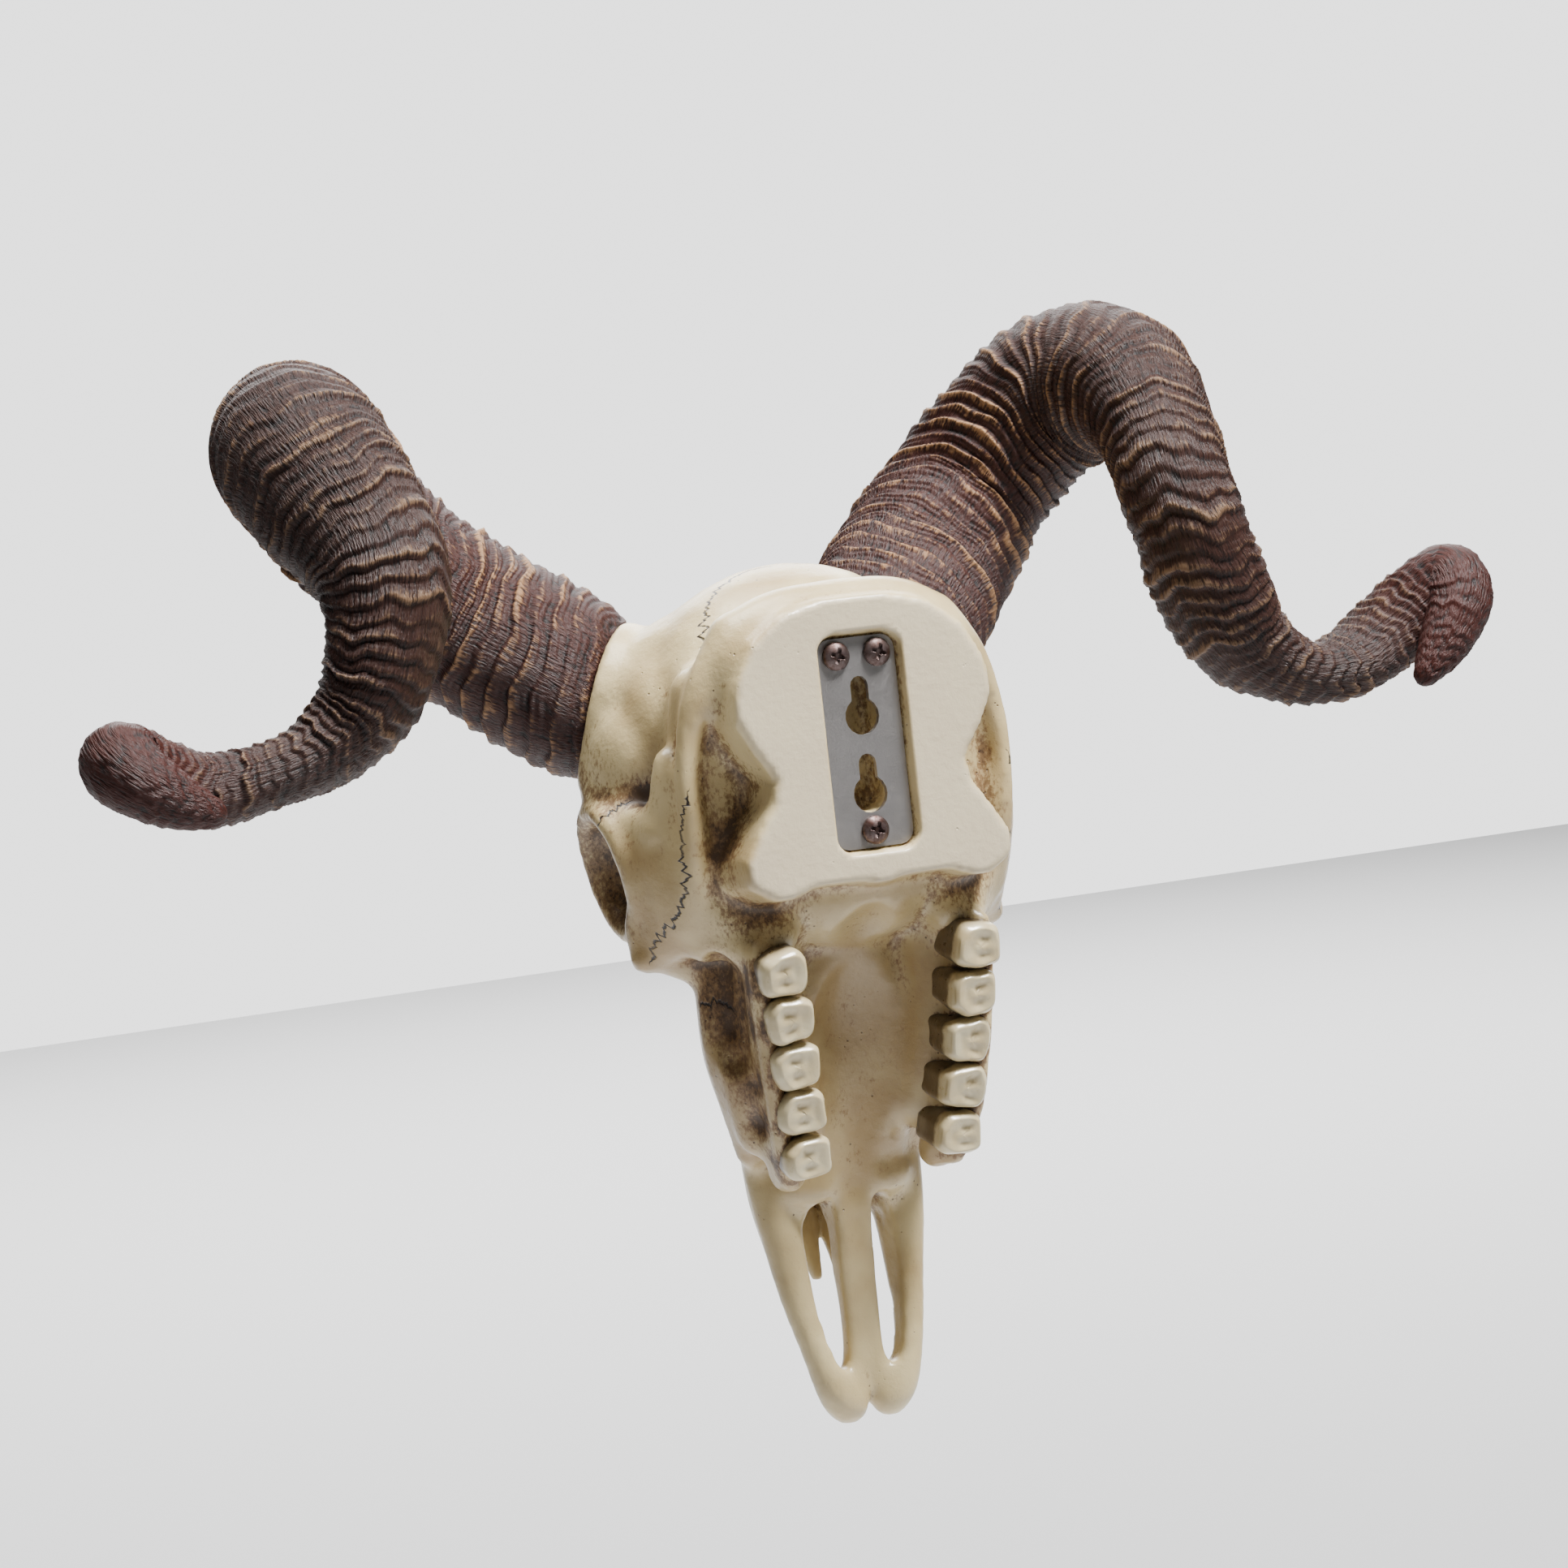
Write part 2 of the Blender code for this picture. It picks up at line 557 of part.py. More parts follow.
def fuse(item, voxel, smooth_steps):
    grid = item.modifiers.new("grid", "REMESH")
    grid.mode = "VOXEL"
    grid.voxel_size = voxel * MM
    if smooth_steps:
        soften = item.modifiers.new("soften", "SMOOTH")
        soften.factor = 0.5
        soften.iterations = smooth_steps
    apply_modifiers(item)


def thin_out(item, triangles):
    count = sum(len(face.vertices) - 2 for face in item.data.polygons)
    thin = item.modifiers.new("thin", "DECIMATE")
    thin.ratio = min(1.0, triangles / count)
    apply_modifiers(item)


def skull_bone(parts, work):
    """The whole bone: fused forms, less the hollows, softened and thinned."""
    bone_forms(work)
    orbit_rims(work)
    muzzle_forms(work)
    bone = join_forms("bone", work, parts)
    fuse(bone, VOXEL, 4)
    hollow_forms(work)
    hollows = join_forms("hollows", work, work)
    fuse(hollows, VOXEL * 0.8, 1)
    boolean(bone, hollows, "DIFFERENCE")
    remove_object(hollows)
    nasal_forms(work)
    flat_back(work)
    add_object("bone", bone.data.copy(), work)
    remove_object(bone)
    bone = join_forms("bone", work, parts)
    fuse(bone, VOXEL * 0.8, 4)
    keep_largest(bone)
    thin_out(bone, BONE_TRIANGLES)
    # The wall plane
    wall = box("wall", work, *WALL_BOX)
    boolean(bone, wall, "DIFFERENCE")
    remove_object(wall)
    return bone


def horn_frames(side):
    """One horn's centre line at equal steps, with a frame that doesn't twist, and its half widths."""
    height = 2 if side > 0 else 3
    knots = [(row[0], row[1], row[height], row[4], row[5]) for row in HORN_LINE]
    fine = smooth_line(knots, HORN_SAMPLES)
    length = np.linalg.norm(np.diff(fine[:, :3], axis=0), axis=1).sum()
    line = smooth_line(knots, int(round(length / HORN_STEP)) + 1)
    tangents = np.gradient(line[:, :3], axis=0)
    tangents /= np.linalg.norm(tangents, axis=1)[:, None]
    normal = np.cross(tangents[0], (0.0, 0.0, 1.0))
    frames = []
    for place, tangent in zip(line, tangents):
        normal = normal - tangent * normal.dot(tangent)
        normal = normal / np.linalg.norm(normal)
        frames.append((place[:3], place[3:], tangent, normal, np.cross(tangent, normal)))
    return frames


def horn_ring(frame, index, side):
    """An oval section with a blunt keel, which has the given half widths from the two views.

    Its size rises and falls with the growth rings.
    """
    centre, (outside, inside), tangent, across, up = frame
    view = math.radians(HORN_VIEW)
    first = np.cross(tangent, (math.sin(view), math.cos(view), 0.0))
    second = np.cross(tangent, (-math.sin(view), math.cos(view), 0.0))
    first /= np.linalg.norm(first)
    second /= np.linalg.norm(second)
    mean = (outside**2 + inside**2) / 2
    apart = max(1 - first.dot(second)**2, HORN_LEAST_SPREAD)
    skew = (outside**2 - inside**2) / 4 / mean / apart
    ring = []
    for k in range(HORN_SIDES):
        a = 2 * math.pi * k / HORN_SIDES
        out = math.cos(a) * across + math.sin(a) * up
        out = out + skew * (first * first.dot(out) - second * second.dot(out))
        swell = 1 + HORN_KEEL * math.cos(3 * a + 0.6) + HORN_RIDGE * (-1) ** index
        p = centre + math.sqrt(mean) * swell * out
        ring.append((side * p[0], p[1], p[2]))
    return ring if side > 0 else ring[::-1]


def horn(side, name, parts, finish, tip_finish):
    """Three lengths of one horn, which meet at flat cuts across it."""
    frames = horn_frames(side)
    last = len(frames) - 1
    cuts = [0] + [int(round(share * last)) for share in HORN_CUTS] + [last]
    lengths = []
    for part, low, high in zip(("base", "curl", "tip"), cuts, cuts[1:]):
        rings = [horn_ring(frames[i], i, side) for i in range(low, high + 1)]
        shift = frames[low][2] * GAP
        rings[0] = [(x + side * shift[0], y + shift[1], z + shift[2]) for x, y, z in rings[0]]
        length = loft(f"horn_{name}_{part}", rings, parts)
        length.data.materials.append(tip_finish if part == "tip" else finish)
        length.data.shade_smooth()
        lengths.append(length)
    return lengths


def cut_horn_seats(bone, work):
    """Cut the bosses off flat where the horns sit on them."""
    for side in (1, -1):
        centre, _, tangent = horn_frames(side)[0][:3]
        axis = Vector((side * tangent[0], tangent[1], tangent[2]))
        middle = Vector((side * centre[0], centre[1], centre[2])) + axis * SEAT_DEPTH / 2
        bm = bmesh.new()
        bmesh.ops.create_cone(bm, cap_ends=True, segments=32, radius1=SEAT_RADIUS * MM,
                              radius2=SEAT_RADIUS * MM, depth=SEAT_DEPTH * MM)
        turn = axis.to_track_quat("Z", "Y").to_matrix().to_4x4()
        bmesh.ops.transform(bm, matrix=Matrix.Translation(middle * MM) @ turn, verts=bm.verts)
        seat = add_object("seat", mesh_from_bmesh("seat", bm), work)
        boolean(bone, seat, "DIFFERENCE")
        remove_object(seat)


def cut_hanger_recess(bone, work):
    """The recess that the plate lies in, and the deeper pocket for the wall screw's head."""
    recess = outline_plate("recess", work, rounded_rectangle(
        0, PLATE_Z, PLATE_WIDTH + 2 * RECESS_MARGIN, PLATE_HEIGHT + 2 * RECESS_MARGIN,
        PLATE_CORNER + RECESS_MARGIN), -RECESS_DEPTH, OVERRUN)
    boolean(bone, recess, "DIFFERENCE")
    remove_object(recess)
    pocket = outline_plate("pocket", work, rounded_rectangle(
        0, PLATE_Z + POCKET_RISE, POCKET_WIDTH, POCKET_HEIGHT, POCKET_CORNER),
        -RECESS_DEPTH - POCKET_DEPTH, OVERRUN - RECESS_DEPTH)
    boolean(bone, pocket, "DIFFERENCE")
    remove_object(pocket)


def part_off(bone, name, region, wider, parts, finish):
    """Cut the piece inside a region off the bone, leaving a thin gap round it."""
    piece = add_object(name, bone.data.copy(), parts)
    boolean(piece, region, "INTERSECT")
    boolean(bone, wider, "DIFFERENCE")
    remove_object(region)
    remove_object(wider)
    for item in (piece, bone):
        keep_largest(item)
    piece.data.materials.clear()
    piece.data.materials.append(finish)
    return piece


def region_pair(work, centre, size, turn_x):
    """A box, and the same box larger all round by the gap."""
    grown = tuple(s + 2 * GAP for s in size)
    return box("region", work, centre, size, turn_x), box("wider", work, centre, grown, turn_x)


def add_teeth(jaw, work):
    """Two rows of worn crowns, sunk into the jaw and fused with it."""
    rng = random.Random(SEED)
    first = Vector(TOOTH_FIRST)
    last = Vector(TOOTH_LAST)
    lean = math.degrees(math.atan2(last.y - first.y, last.z - first.z))
    for side in (1, -1):
        for k in range(TOOTH_COUNT):
            crown = first.lerp(last, k / (TOOTH_COUNT - 1))
            length = TOOTH_LENGTH * (1.0 - TOOTH_SHORTENING * k) * rng.uniform(0.96, 1.0)
            width = TOOTH_WIDTH * rng.uniform(0.97, 1.03)
            tooth = box("tooth", work, (0, 0, 0), (width, TOOTH_HEIGHT, length))
            edge = tooth.modifiers.new("edge", "BEVEL")
            edge.width = TOOTH_BEVEL * MM
            edge.segments = 2
            apply_modifiers(tooth)
            turn = Matrix.Rotation(math.radians(-180 - lean), 4, "X")
            turn = turn @ Matrix.Rotation(math.radians(side * rng.uniform(*TOOTH_TWIST)), 4, "Y")
            place = Matrix.Translation(point(side * crown.x, crown.y, crown.z)) @ turn
            tooth.data.transform(place @ Matrix.Translation(point(0, -TOOTH_HEIGHT / 2, 0)))
    boolean(jaw, work, "UNION")
    for item in list(work.objects):
        remove_object(item)
    keep_largest(jaw)


def hanger_plate(parts, work, finish):
    """Thin plate with two keyholes, one above the other."""
    back = -RECESS_DEPTH + GAP
    plate = outline_plate("hanger_plate", parts, rounded_rectangle(
        0, PLATE_Z, PLATE_WIDTH, PLATE_HEIGHT, PLATE_CORNER), back, back + PLATE_THICK)
    for z in KEYHOLE_CENTRES:
        hole = outline_plate("keyhole", work, keyhole_outline(PLATE_Z + z), back - OVERRUN,
                             back + PLATE_THICK + OVERRUN)
        boolean(plate, hole, "DIFFERENCE")
        remove_object(hole)
    plate.data.materials.append(finish)
    return plate


def screw_head(name, parts, work, x, z, finish):
    """Domed pan head with a cross recess, resting on the plate."""
    seat = -RECESS_DEPTH + GAP + PLATE_THICK + GAP
    bm = bmesh.new()
    profile = [(0.0, 0.0), (SCREW_HEAD_RADIUS, 0.0),
               (SCREW_HEAD_RADIUS, SCREW_RIM_SHARE * SCREW_HEAD_HEIGHT)]
    for step in range(1, 5):
        a = math.radians(22.5 * step)
        profile.append((SCREW_HEAD_RADIUS * math.cos(a) if step < 4 else 0.0,
                        (SCREW_RIM_SHARE + (1 - SCREW_RIM_SHARE) * math.sin(a)) * SCREW_HEAD_HEIGHT))
    verts = [bm.verts.new((r * MM, 0.0, h * MM)) for r, h in profile]
    edges = [bm.edges.new(pair) for pair in zip(verts, verts[1:])]
    bmesh.ops.spin(bm, geom=verts + edges, cent=(0, 0, 0), axis=(0, 0, 1), angle=2 * math.pi,
                     steps=SCREW_SIDES)
    bmesh.ops.remove_doubles(bm, verts=bm.verts, dist=2 * MERGE)
    place = Matrix.Translation(point(x, seat, PLATE_Z + z)) @ Matrix.Rotation(-math.pi / 2, 4, "X")
    bmesh.ops.transform(bm, matrix=place, verts=bm.verts)
    head = add_object(name, mesh_from_bmesh(name, bm), parts)
    top = seat + SCREW_HEAD_HEIGHT
    for size in ((SCREW_CROSS_LENGTH, SCREW_CROSS_WIDTH), (SCREW_CROSS_WIDTH, SCREW_CROSS_LENGTH)):
        slot = box("slot", work, (x, top, PLATE_Z + z), (size[0], 2 * SCREW_CROSS_DEPTH, size[1]))
        boolean(head, slot, "DIFFERENCE")
        remove_object(slot)
    head.data.materials.append(finish)
    return head


def build():
    clear_scene()
    parts = new_collection("ram_skull_trophy")
    work = new_collection("cutters")
    work.hide_render = True

    bone_finish = material("bone_resin", BONE_COLOUR, 0.35)
    jaw_finish = material("jaw_resin", TOOTH_BONE_COLOUR, 0.35)
    horn_finish = material("horn_resin", HORN_COLOUR, 0.5)
    tip_finish = material("horn_tip_resin", HORN_TIP_COLOUR, 0.4)
    plate_finish = material("satin_aluminium", PLATE_COLOUR, 0.35, 1.0)
    screw_finish = material("tarnished_steel", SCREW_COLOUR, 0.35, 1.0)

    bone = skull_bone(parts, work)
    cut_horn_seats(bone, work)
    cut_hanger_recess(bone, work)
    keep_largest(bone)

    part_off(bone, "muzzle", *region_pair(work, *MUZZLE_BOX), parts, jaw_finish)
    part_off(bone, "nose_bones", *region_pair(work, *NOSE_BOX), parts, bone_finish)
    part_off(bone, "eye_socket_left", *region_pair(work, *LEFT_SOCKET_BOX), parts, bone_finish)
    part_off(bone, "eye_socket_right", *region_pair(work, *RIGHT_SOCKET_BOX), parts, bone_finish)
    jaw = part_off(bone, "upper_jaw", *region_pair(work, *JAW_BOX), parts, jaw_finish)
    bone.name = "braincase"
    bone.data.materials.clear()
    bone.data.materials.append(bone_finish)
    add_teeth(jaw, work)

    for side, label in ((1, "left"), (-1, "right")):
        horn(side, label, parts, horn_finish, tip_finish)
    hanger_plate(parts, work, plate_finish)
    for name, (x, z) in SCREW_PLACES.items():
        screw_head(name, parts, work, x, z, screw_finish)


build()
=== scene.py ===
"""A cast resin ram skull wall trophy, seen from behind and a little to its left.

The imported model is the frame. This script adds the looks: one finely modelled skull, two rows of
teeth, a ringed horn on each side, and the hanger plate with its three screws.

Sizes in the functions are in millimetres. Left means the animal's left, which is +X. The skull
faces -Y, and its flat back lies in the plane y = 0.
"""

import math
from functools import partial

import bmesh
import bpy
import numpy as np
from bpy.props import FloatProperty, FloatVectorProperty, IntProperty, PointerProperty
from bpy.types import Operator, Panel, PropertyGroup
from mathutils import Matrix, Vector


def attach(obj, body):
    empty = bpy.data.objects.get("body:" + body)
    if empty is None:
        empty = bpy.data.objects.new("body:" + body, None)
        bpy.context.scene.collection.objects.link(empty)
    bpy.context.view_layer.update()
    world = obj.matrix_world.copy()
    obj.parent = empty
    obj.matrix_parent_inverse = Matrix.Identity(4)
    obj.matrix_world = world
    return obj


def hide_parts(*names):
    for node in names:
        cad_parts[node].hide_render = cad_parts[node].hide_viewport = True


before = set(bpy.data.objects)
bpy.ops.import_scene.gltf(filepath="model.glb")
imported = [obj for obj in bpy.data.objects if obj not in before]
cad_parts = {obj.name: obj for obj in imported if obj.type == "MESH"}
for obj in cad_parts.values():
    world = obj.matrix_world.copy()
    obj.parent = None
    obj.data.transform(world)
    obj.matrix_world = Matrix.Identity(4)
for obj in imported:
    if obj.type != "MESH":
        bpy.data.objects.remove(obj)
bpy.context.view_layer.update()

bl_info = {
    "name": "Ram skull wall trophy",
    "version": (1, 0, 0),
    "blender": (4, 5, 0),
    "location": "3D View > Sidebar > Trophy",
    "description": "Builds the skull, teeth, horns and hanger of a cast resin wall trophy",
    "category": "Object",
}

MM = 0.001
IMAGE_WIDTH = 1932
SEED = 7

SKULL_NODES = ("braincase", "nose_bones", "eye_socket_left", "eye_socket_right", "upper_jaw", "muzzle")
HORN_NODES = ("base", "curl", "tip")
SCREW_NODES = ("screw_top_left", "screw_top_right", "screw_bottom")
SIDES = ((1, "left"), (-1, "right"))


# Colour and nodes


def colour(hex_code):
    """An sRGB hex code as linear red, green, blue and alpha."""
    channels = np.array([int(hex_code[k:k + 2], 16) for k in (0, 2, 4)]) / 255.0
    linear = np.where(channels <= 0.04045, channels / 12.92, ((channels + 0.055) / 1.055) ** 2.4)
    return (*(float(c) for c in linear), 1.0)


def picker(name, description, hex_code):
    """A colour property with an sRGB hex default."""
    return FloatVectorProperty(name=name, description=description, subtype="COLOR", size=4,
                               min=0.0, max=1.0, default=colour(hex_code))


def length(name, description, millimetres):
    """A length property in metres with a default in millimetres."""
    return FloatProperty(name=name, description=description, default=millimetres * MM, unit="LENGTH",
                         precision=5)


def add(tree, kind, inputs=None, **settings):
    """Add a node with its settings. An input, by name or number, is a value or what links to it."""
    item = tree.nodes.new(kind)
    for name, value in settings.items():
        setattr(item, name, value)
    for place, value in (inputs or {}).items():
        if isinstance(value, bpy.types.Node):
            value = value.outputs[0]
        if isinstance(value, bpy.types.NodeSocket):
            tree.links.new(value, item.inputs[place])
        else:
            item.inputs[place].default_value = value
    return item


def new_material(name):
    """A material, a function that adds nodes to it, its shader and its object coordinates."""
    item = bpy.data.materials.new(name)
    item.use_nodes = True
    tree = item.node_tree
    put = partial(add, tree)
    place = put("ShaderNodeTexCoord").outputs["Object"]
    return item, put, tree.nodes["Principled BSDF"], place


# Surfaces as whole arrays


def smooth_line(stations, count):
    """Catmull-Rom curve through the stations, taken at equal steps of its length."""
    knots = np.array(stations, dtype=float)
    ends = np.vstack([2 * knots[0] - knots[1], knots, 2 * knots[-1] - knots[-2]])
    share = np.linspace(0, 1, 24, endpoint=False)[:, None]
    spans = [0.5 * (2 * b + (c - a) * share + (2 * a - 5 * b + 4 * c - d) * share**2
                    + (3 * b - a - 3 * c + d) * share**3)
             for a, b, c, d in zip(ends, ends[1:], ends[2:], ends[3:])]
    fine = np.vstack(spans + [knots[-1:]])
    along = np.r_[0, np.cumsum(np.linalg.norm(np.diff(fine[:, :3], axis=0), axis=1))]
    wanted = np.linspace(0, along[-1], count)
    return np.column_stack([np.interp(wanted, along, fine[:, k]) for k in range(fine.shape[1])])


def unit(vectors):
    """Vectors scaled to length one."""
    return vectors / np.linalg.norm(vectors, axis=-1, keepdims=True)


def tube(stations, squash=1.0, steps=24, around=20):
    """Rings of a round-ended limb through stations of x, y, z and radius.

    Point = path(s) + radius(s) (cos a, sin a) across the path. Past each end the path runs on by
    radius sin t while the ring shrinks to radius cos t. squash scales the radius along Y.
    """
    line = smooth_line(stations, steps)
    path = line[:, :3]
    tangent = unit(np.gradient(path, axis=0))
    turn = np.linspace(math.pi / 2 - 0.12, 0, 5, endpoint=False)
    head = path[0] - tangent[0] * line[0, 3] * np.sin(turn)[:, None]
    tail = path[-1] + tangent[-1] * line[-1, 3] * np.sin(turn[::-1])[:, None]
    centre = np.vstack([head, path, tail])
    radius = np.r_[line[0, 3] * np.cos(turn), line[:, 3], line[-1, 3] * np.cos(turn[::-1])]
    along = np.vstack([np.repeat(tangent[:1], 5, 0), tangent, np.repeat(tangent[-1:], 5, 0)])
    reference = np.eye(3)[np.argmin(np.abs(tangent.mean(axis=0)))]
    across = unit(np.cross(along, reference))
    up = np.cross(along, across)
    a = np.linspace(0, 2 * math.pi, around, endpoint=False)[None, :, None]
    ring = np.cos(a) * across[:, None] + np.sin(a) * up[:, None]
    return centre[:, None] + radius[:, None, None] * ring * (1.0, squash, 1.0)


def ball(centre, radii, around=28, steps=16):
    """Rings of an ellipsoid: centre + radii (cos v cos u, cos v sin u, sin v)."""
    v = np.linspace(-math.pi / 2 + 0.05, math.pi / 2 - 0.05, steps)[:, None]
    u = np.linspace(0, 2 * math.pi, around, endpoint=False)[None, :]
    unit_ball = np.stack([np.cos(v) * np.cos(u), np.cos(v) * np.sin(u), np.sin(v) + 0 * u], axis=-1)
    return np.array(centre) + np.array(radii) * unit_ball


def hoop(centre, axis, major, minor, around=48):
    """A closed ring of round bar about an axis, as a tube whose last station meets its first."""
    direction = unit(np.array(axis, dtype=float))
    across = unit(np.cross(direction, (0.0, 1.0, 0.0)))
    up = np.cross(direction, across)
    a = np.linspace(0, 2 * math.pi, around + 1)[:, None]
    path = np.array(centre) + major * (np.cos(a) * across + np.sin(a) * up)
    return tube(np.column_stack([path, np.full(around + 1, minor)]), steps=around, around=12)


def prism(outline, y_front, y_back, flare=1.0):
    """Rings of a plate between two planes of constant y, from a closed outline of x and z.

    The outline is scaled by flare at the front plane, and keeps its size in the rear third.
    """
    edge = np.array(outline, dtype=float)
    middle = edge.mean(axis=0)
    y_kept = y_back + (y_front - y_back) / 3
    shares = ((0.02, y_front), (flare, y_front), (1.0, y_kept), (1.0, y_back), (0.02, y_back))
    rings = []
    for share, y in shares:
        flat = middle + share * (edge - middle)
        rings.append(np.column_stack([flat[:, 0], np.full(len(edge), y), flat[:, 1]]))
    return np.array(rings)


def rounded_rectangle(centre_z, width, height, corner, per_corner=6):
    """Outline of x and z round (0, centre_z), with quarter circles at the corners."""
    points = []
    for k, (x, z) in enumerate(((1, 1), (-1, 1), (-1, -1), (1, -1))):
        a = np.radians(np.linspace(90 * k, 90 * k + 90, per_corner))
        points.append(np.column_stack([x * (width / 2 - corner) + corner * np.cos(a),
                                       centre_z + z * (height / 2 - corner) + corner * np.sin(a)]))
    return np.vstack(points)


def skin(rings):
    """Points, quads and end fans of a closed skin over rings, turned to face outwards."""
    rows, columns = rings.shape[:2]
    points = np.vstack([rings.reshape(-1, 3), rings[0].mean(axis=0), rings[-1].mean(axis=0)])
    k = np.arange(columns)
    after = np.roll(k, -1)
    row = (np.arange(rows - 1) * columns)[:, None]
    quads = np.stack([row + k, row + after, row + columns + after, row + columns + k], axis=-1).reshape(-1, 4)
    top = (rows - 1) * columns
    fans = np.vstack([np.column_stack([after, k, np.full(columns, rows * columns)]),
                      np.column_stack([top + k, top + after, np.full(columns, rows * columns + 1)])])
    a, b, c, d = (points[quads[:, j]] for j in range(4))
    volume = np.einsum("ij,ij->", a, np.cross(b, c)) + np.einsum("ij,ij->", a, np.cross(c, d))
    if volume < 0:
        quads = quads[:, ::-1]
        fans = fans[:, ::-1]
    return points, quads, fans


class Clay:
    """Closed forms gathered into one mesh."""

    def __init__(self):
        self.points = []
        self.quads = []
        self.fans = []
        self.count = 0

    def add(self, rings, mirrored=False):
        """Add a form, and its mirror image on the other side if mirrored."""
        for side in ((1, -1) if mirrored else (1,)):
            points, quads, fans = skin(rings * (side, 1.0, 1.0))
            self.points.append(points)
            self.quads.append(quads + self.count)
            self.fans.append(fans + self.count)
            self.count += len(points)

    def mesh(self, name):
        return new_mesh(name, np.vstack(self.points), np.vstack(self.quads), np.vstack(self.fans))


def new_mesh(name, points, quads, fans):
    """A mesh from points in millimetres, quads and triangles."""
    mesh = bpy.data.meshes.new(name)
    mesh.vertices.add(len(points))
    mesh.vertices.foreach_set("co", (points * MM).astype(np.float32).ravel())
    corners = np.concatenate([quads.ravel(), fans.ravel()])
    mesh.loops.add(len(corners))
    mesh.loops.foreach_set("vertex_index", corners.astype(np.int32))
    sizes = np.r_[np.full(len(quads), 4), np.full(len(fans), 3)]
    mesh.polygons.add(len(sizes))
    mesh.polygons.foreach_set("loop_start", np.r_[0, np.cumsum(sizes)[:-1]].astype(np.int32))
    mesh.update(calc_edges=True)
    return mesh


def new_object(name, mesh, finish=None):
    """An object at the origin, in the scene, with smooth faces."""
    item = bpy.data.objects.new(name, mesh)
    bpy.context.scene.collection.objects.link(item)
    mesh.shade_smooth()
    if finish is not None:
        mesh.materials.clear()
        mesh.materials.append(finish)
    return item


def evaluated_mesh(item):
    """The mesh that an object's modifiers give."""
    depsgraph = bpy.context.evaluated_depsgraph_get()
    return bpy.data.meshes.new_from_object(item.evaluated_get(depsgraph))


def fuse(mesh, voxel, smooth_steps):
    """Overlapping closed forms fused on a grid of cubes and softened."""
    item = new_object("fusing", mesh)
    grid = item.modifiers.new("grid", "REMESH")
    grid.mode = "VOXEL"
    grid.voxel_size = voxel
    soften = item.modifiers.new("soften", "SMOOTH")
    soften.factor = 0.5
    soften.iterations = smooth_steps
    fused = evaluated_mesh(item)
    bpy.data.objects.remove(item)
    return fused


def carve(mesh, hollows):
    """One closed mesh less another."""
    item = new_object("carving", mesh)
    tool = new_object("tool", hollows)
    cut = item.modifiers.new("cut", "BOOLEAN")
    cut.operation = "DIFFERENCE"
    cut.solver = "MANIFOLD"
    cut.object = tool
    carved = evaluated_mesh(item)
    bpy.data.objects.remove(item)
    bpy.data.objects.remove(tool)
    return carved


def mesh_points(mesh):
    """Vertex places in millimetres."""
    flat = np.empty(len(mesh.vertices) * 3, dtype=np.float32)
    mesh.vertices.foreach_get("co", flat)
    return flat.reshape(-1, 3).astype(float) / MM


def mesh_normals(mesh):
    """Vertex normals."""
    flat = np.empty(len(mesh.vertices) * 3, dtype=np.float32)
    mesh.vertex_normals.foreach_get("vector", flat)
    return flat.reshape(-1, 3).astype(float)


def mesh_edges(mesh):
    """Vertex pairs of the edges."""
    flat = np.empty(len(mesh.edges) * 2, dtype=np.int32)
    mesh.edges.foreach_get("vertices", flat)
    return flat.reshape(-1, 2)


def relaxed(values, edges, rounds):
    """Values averaged with their neighbours' mean, a number of times."""
    first, second = edges.T
    count = len(values)
    degree = np.maximum(np.bincount(edges.ravel(), minlength=count), 1)
    for _ in range(rounds):
        total = np.column_stack([np.bincount(first, weights=column[second], minlength=count)
                                 + np.bincount(second, weights=column[first], minlength=count)
                                 for column in values.T])
        values = 0.5 * values + 0.5 * total / degree[:, None]
    return values


def set_attribute(mesh, name, values):
    """Store one number a vertex."""
    layer = mesh.attributes.new(name, "FLOAT", "POINT")
    layer.data.foreach_set("value", np.asarray(values, dtype=np.float32))


def near(points, spot, reach):
    """1 at a spot on either side, falling to 0 beyond its reach along x, y and z."""
    away = np.column_stack([np.abs(points[:, 0]), points[:, 1:]]) - spot
    return np.exp(-np.sum((away / reach)**2, axis=1))


def joined(first, second):
    """Two meshes in one."""
    bm = bmesh.new()
    bm.from_mesh(first)
    bm.from_mesh(second)
    mesh = bpy.data.meshes.new("joined")
    bm.to_mesh(mesh)
    bm.free()
    return mesh


# The skull: places and sizes in millimetres, the same forms as the solids have

BACK_OUTLINE = (
    (0, 76), (12, 75.5), (23, 72.5), (33, 65), (39, 54), (39.5, 44), (35, 35.5), (29.5, 28),
    (31, 21), (36, 14), (41, 6), (40.5, -1), (34, -5.5), (27, -5.5), (20, -3), (10, -3.2), (0, -4.5),
)
BACK_DEPTH = 20.0
BACK_FLARE = 1.03
RECESS_DEPTH = 5.0
POCKET_DEPTH = 14.0
PLATE_Z = 35.0
RECESS_WIDTH = 25.6
RECESS_HEIGHT = 60.2
ORBIT_CENTRE = (57.0, -57.0, 5.0)
ORBIT_AXIS = (0.97, -0.12, -0.21)
TOOTH_COUNT = 5
TOOTH_FIRST = (30.0, -5.0, -26.2)
TOOTH_LAST = (23.6, -16.2, -79.0)
SCREW_PLACES = ((6.3, 24.4), (-6.3, 24.4), (0.0, -24.4))
SCREW_SEAT = -2.8
AIM_COLUMN = 1072.0
AIM_ROW = 914.0

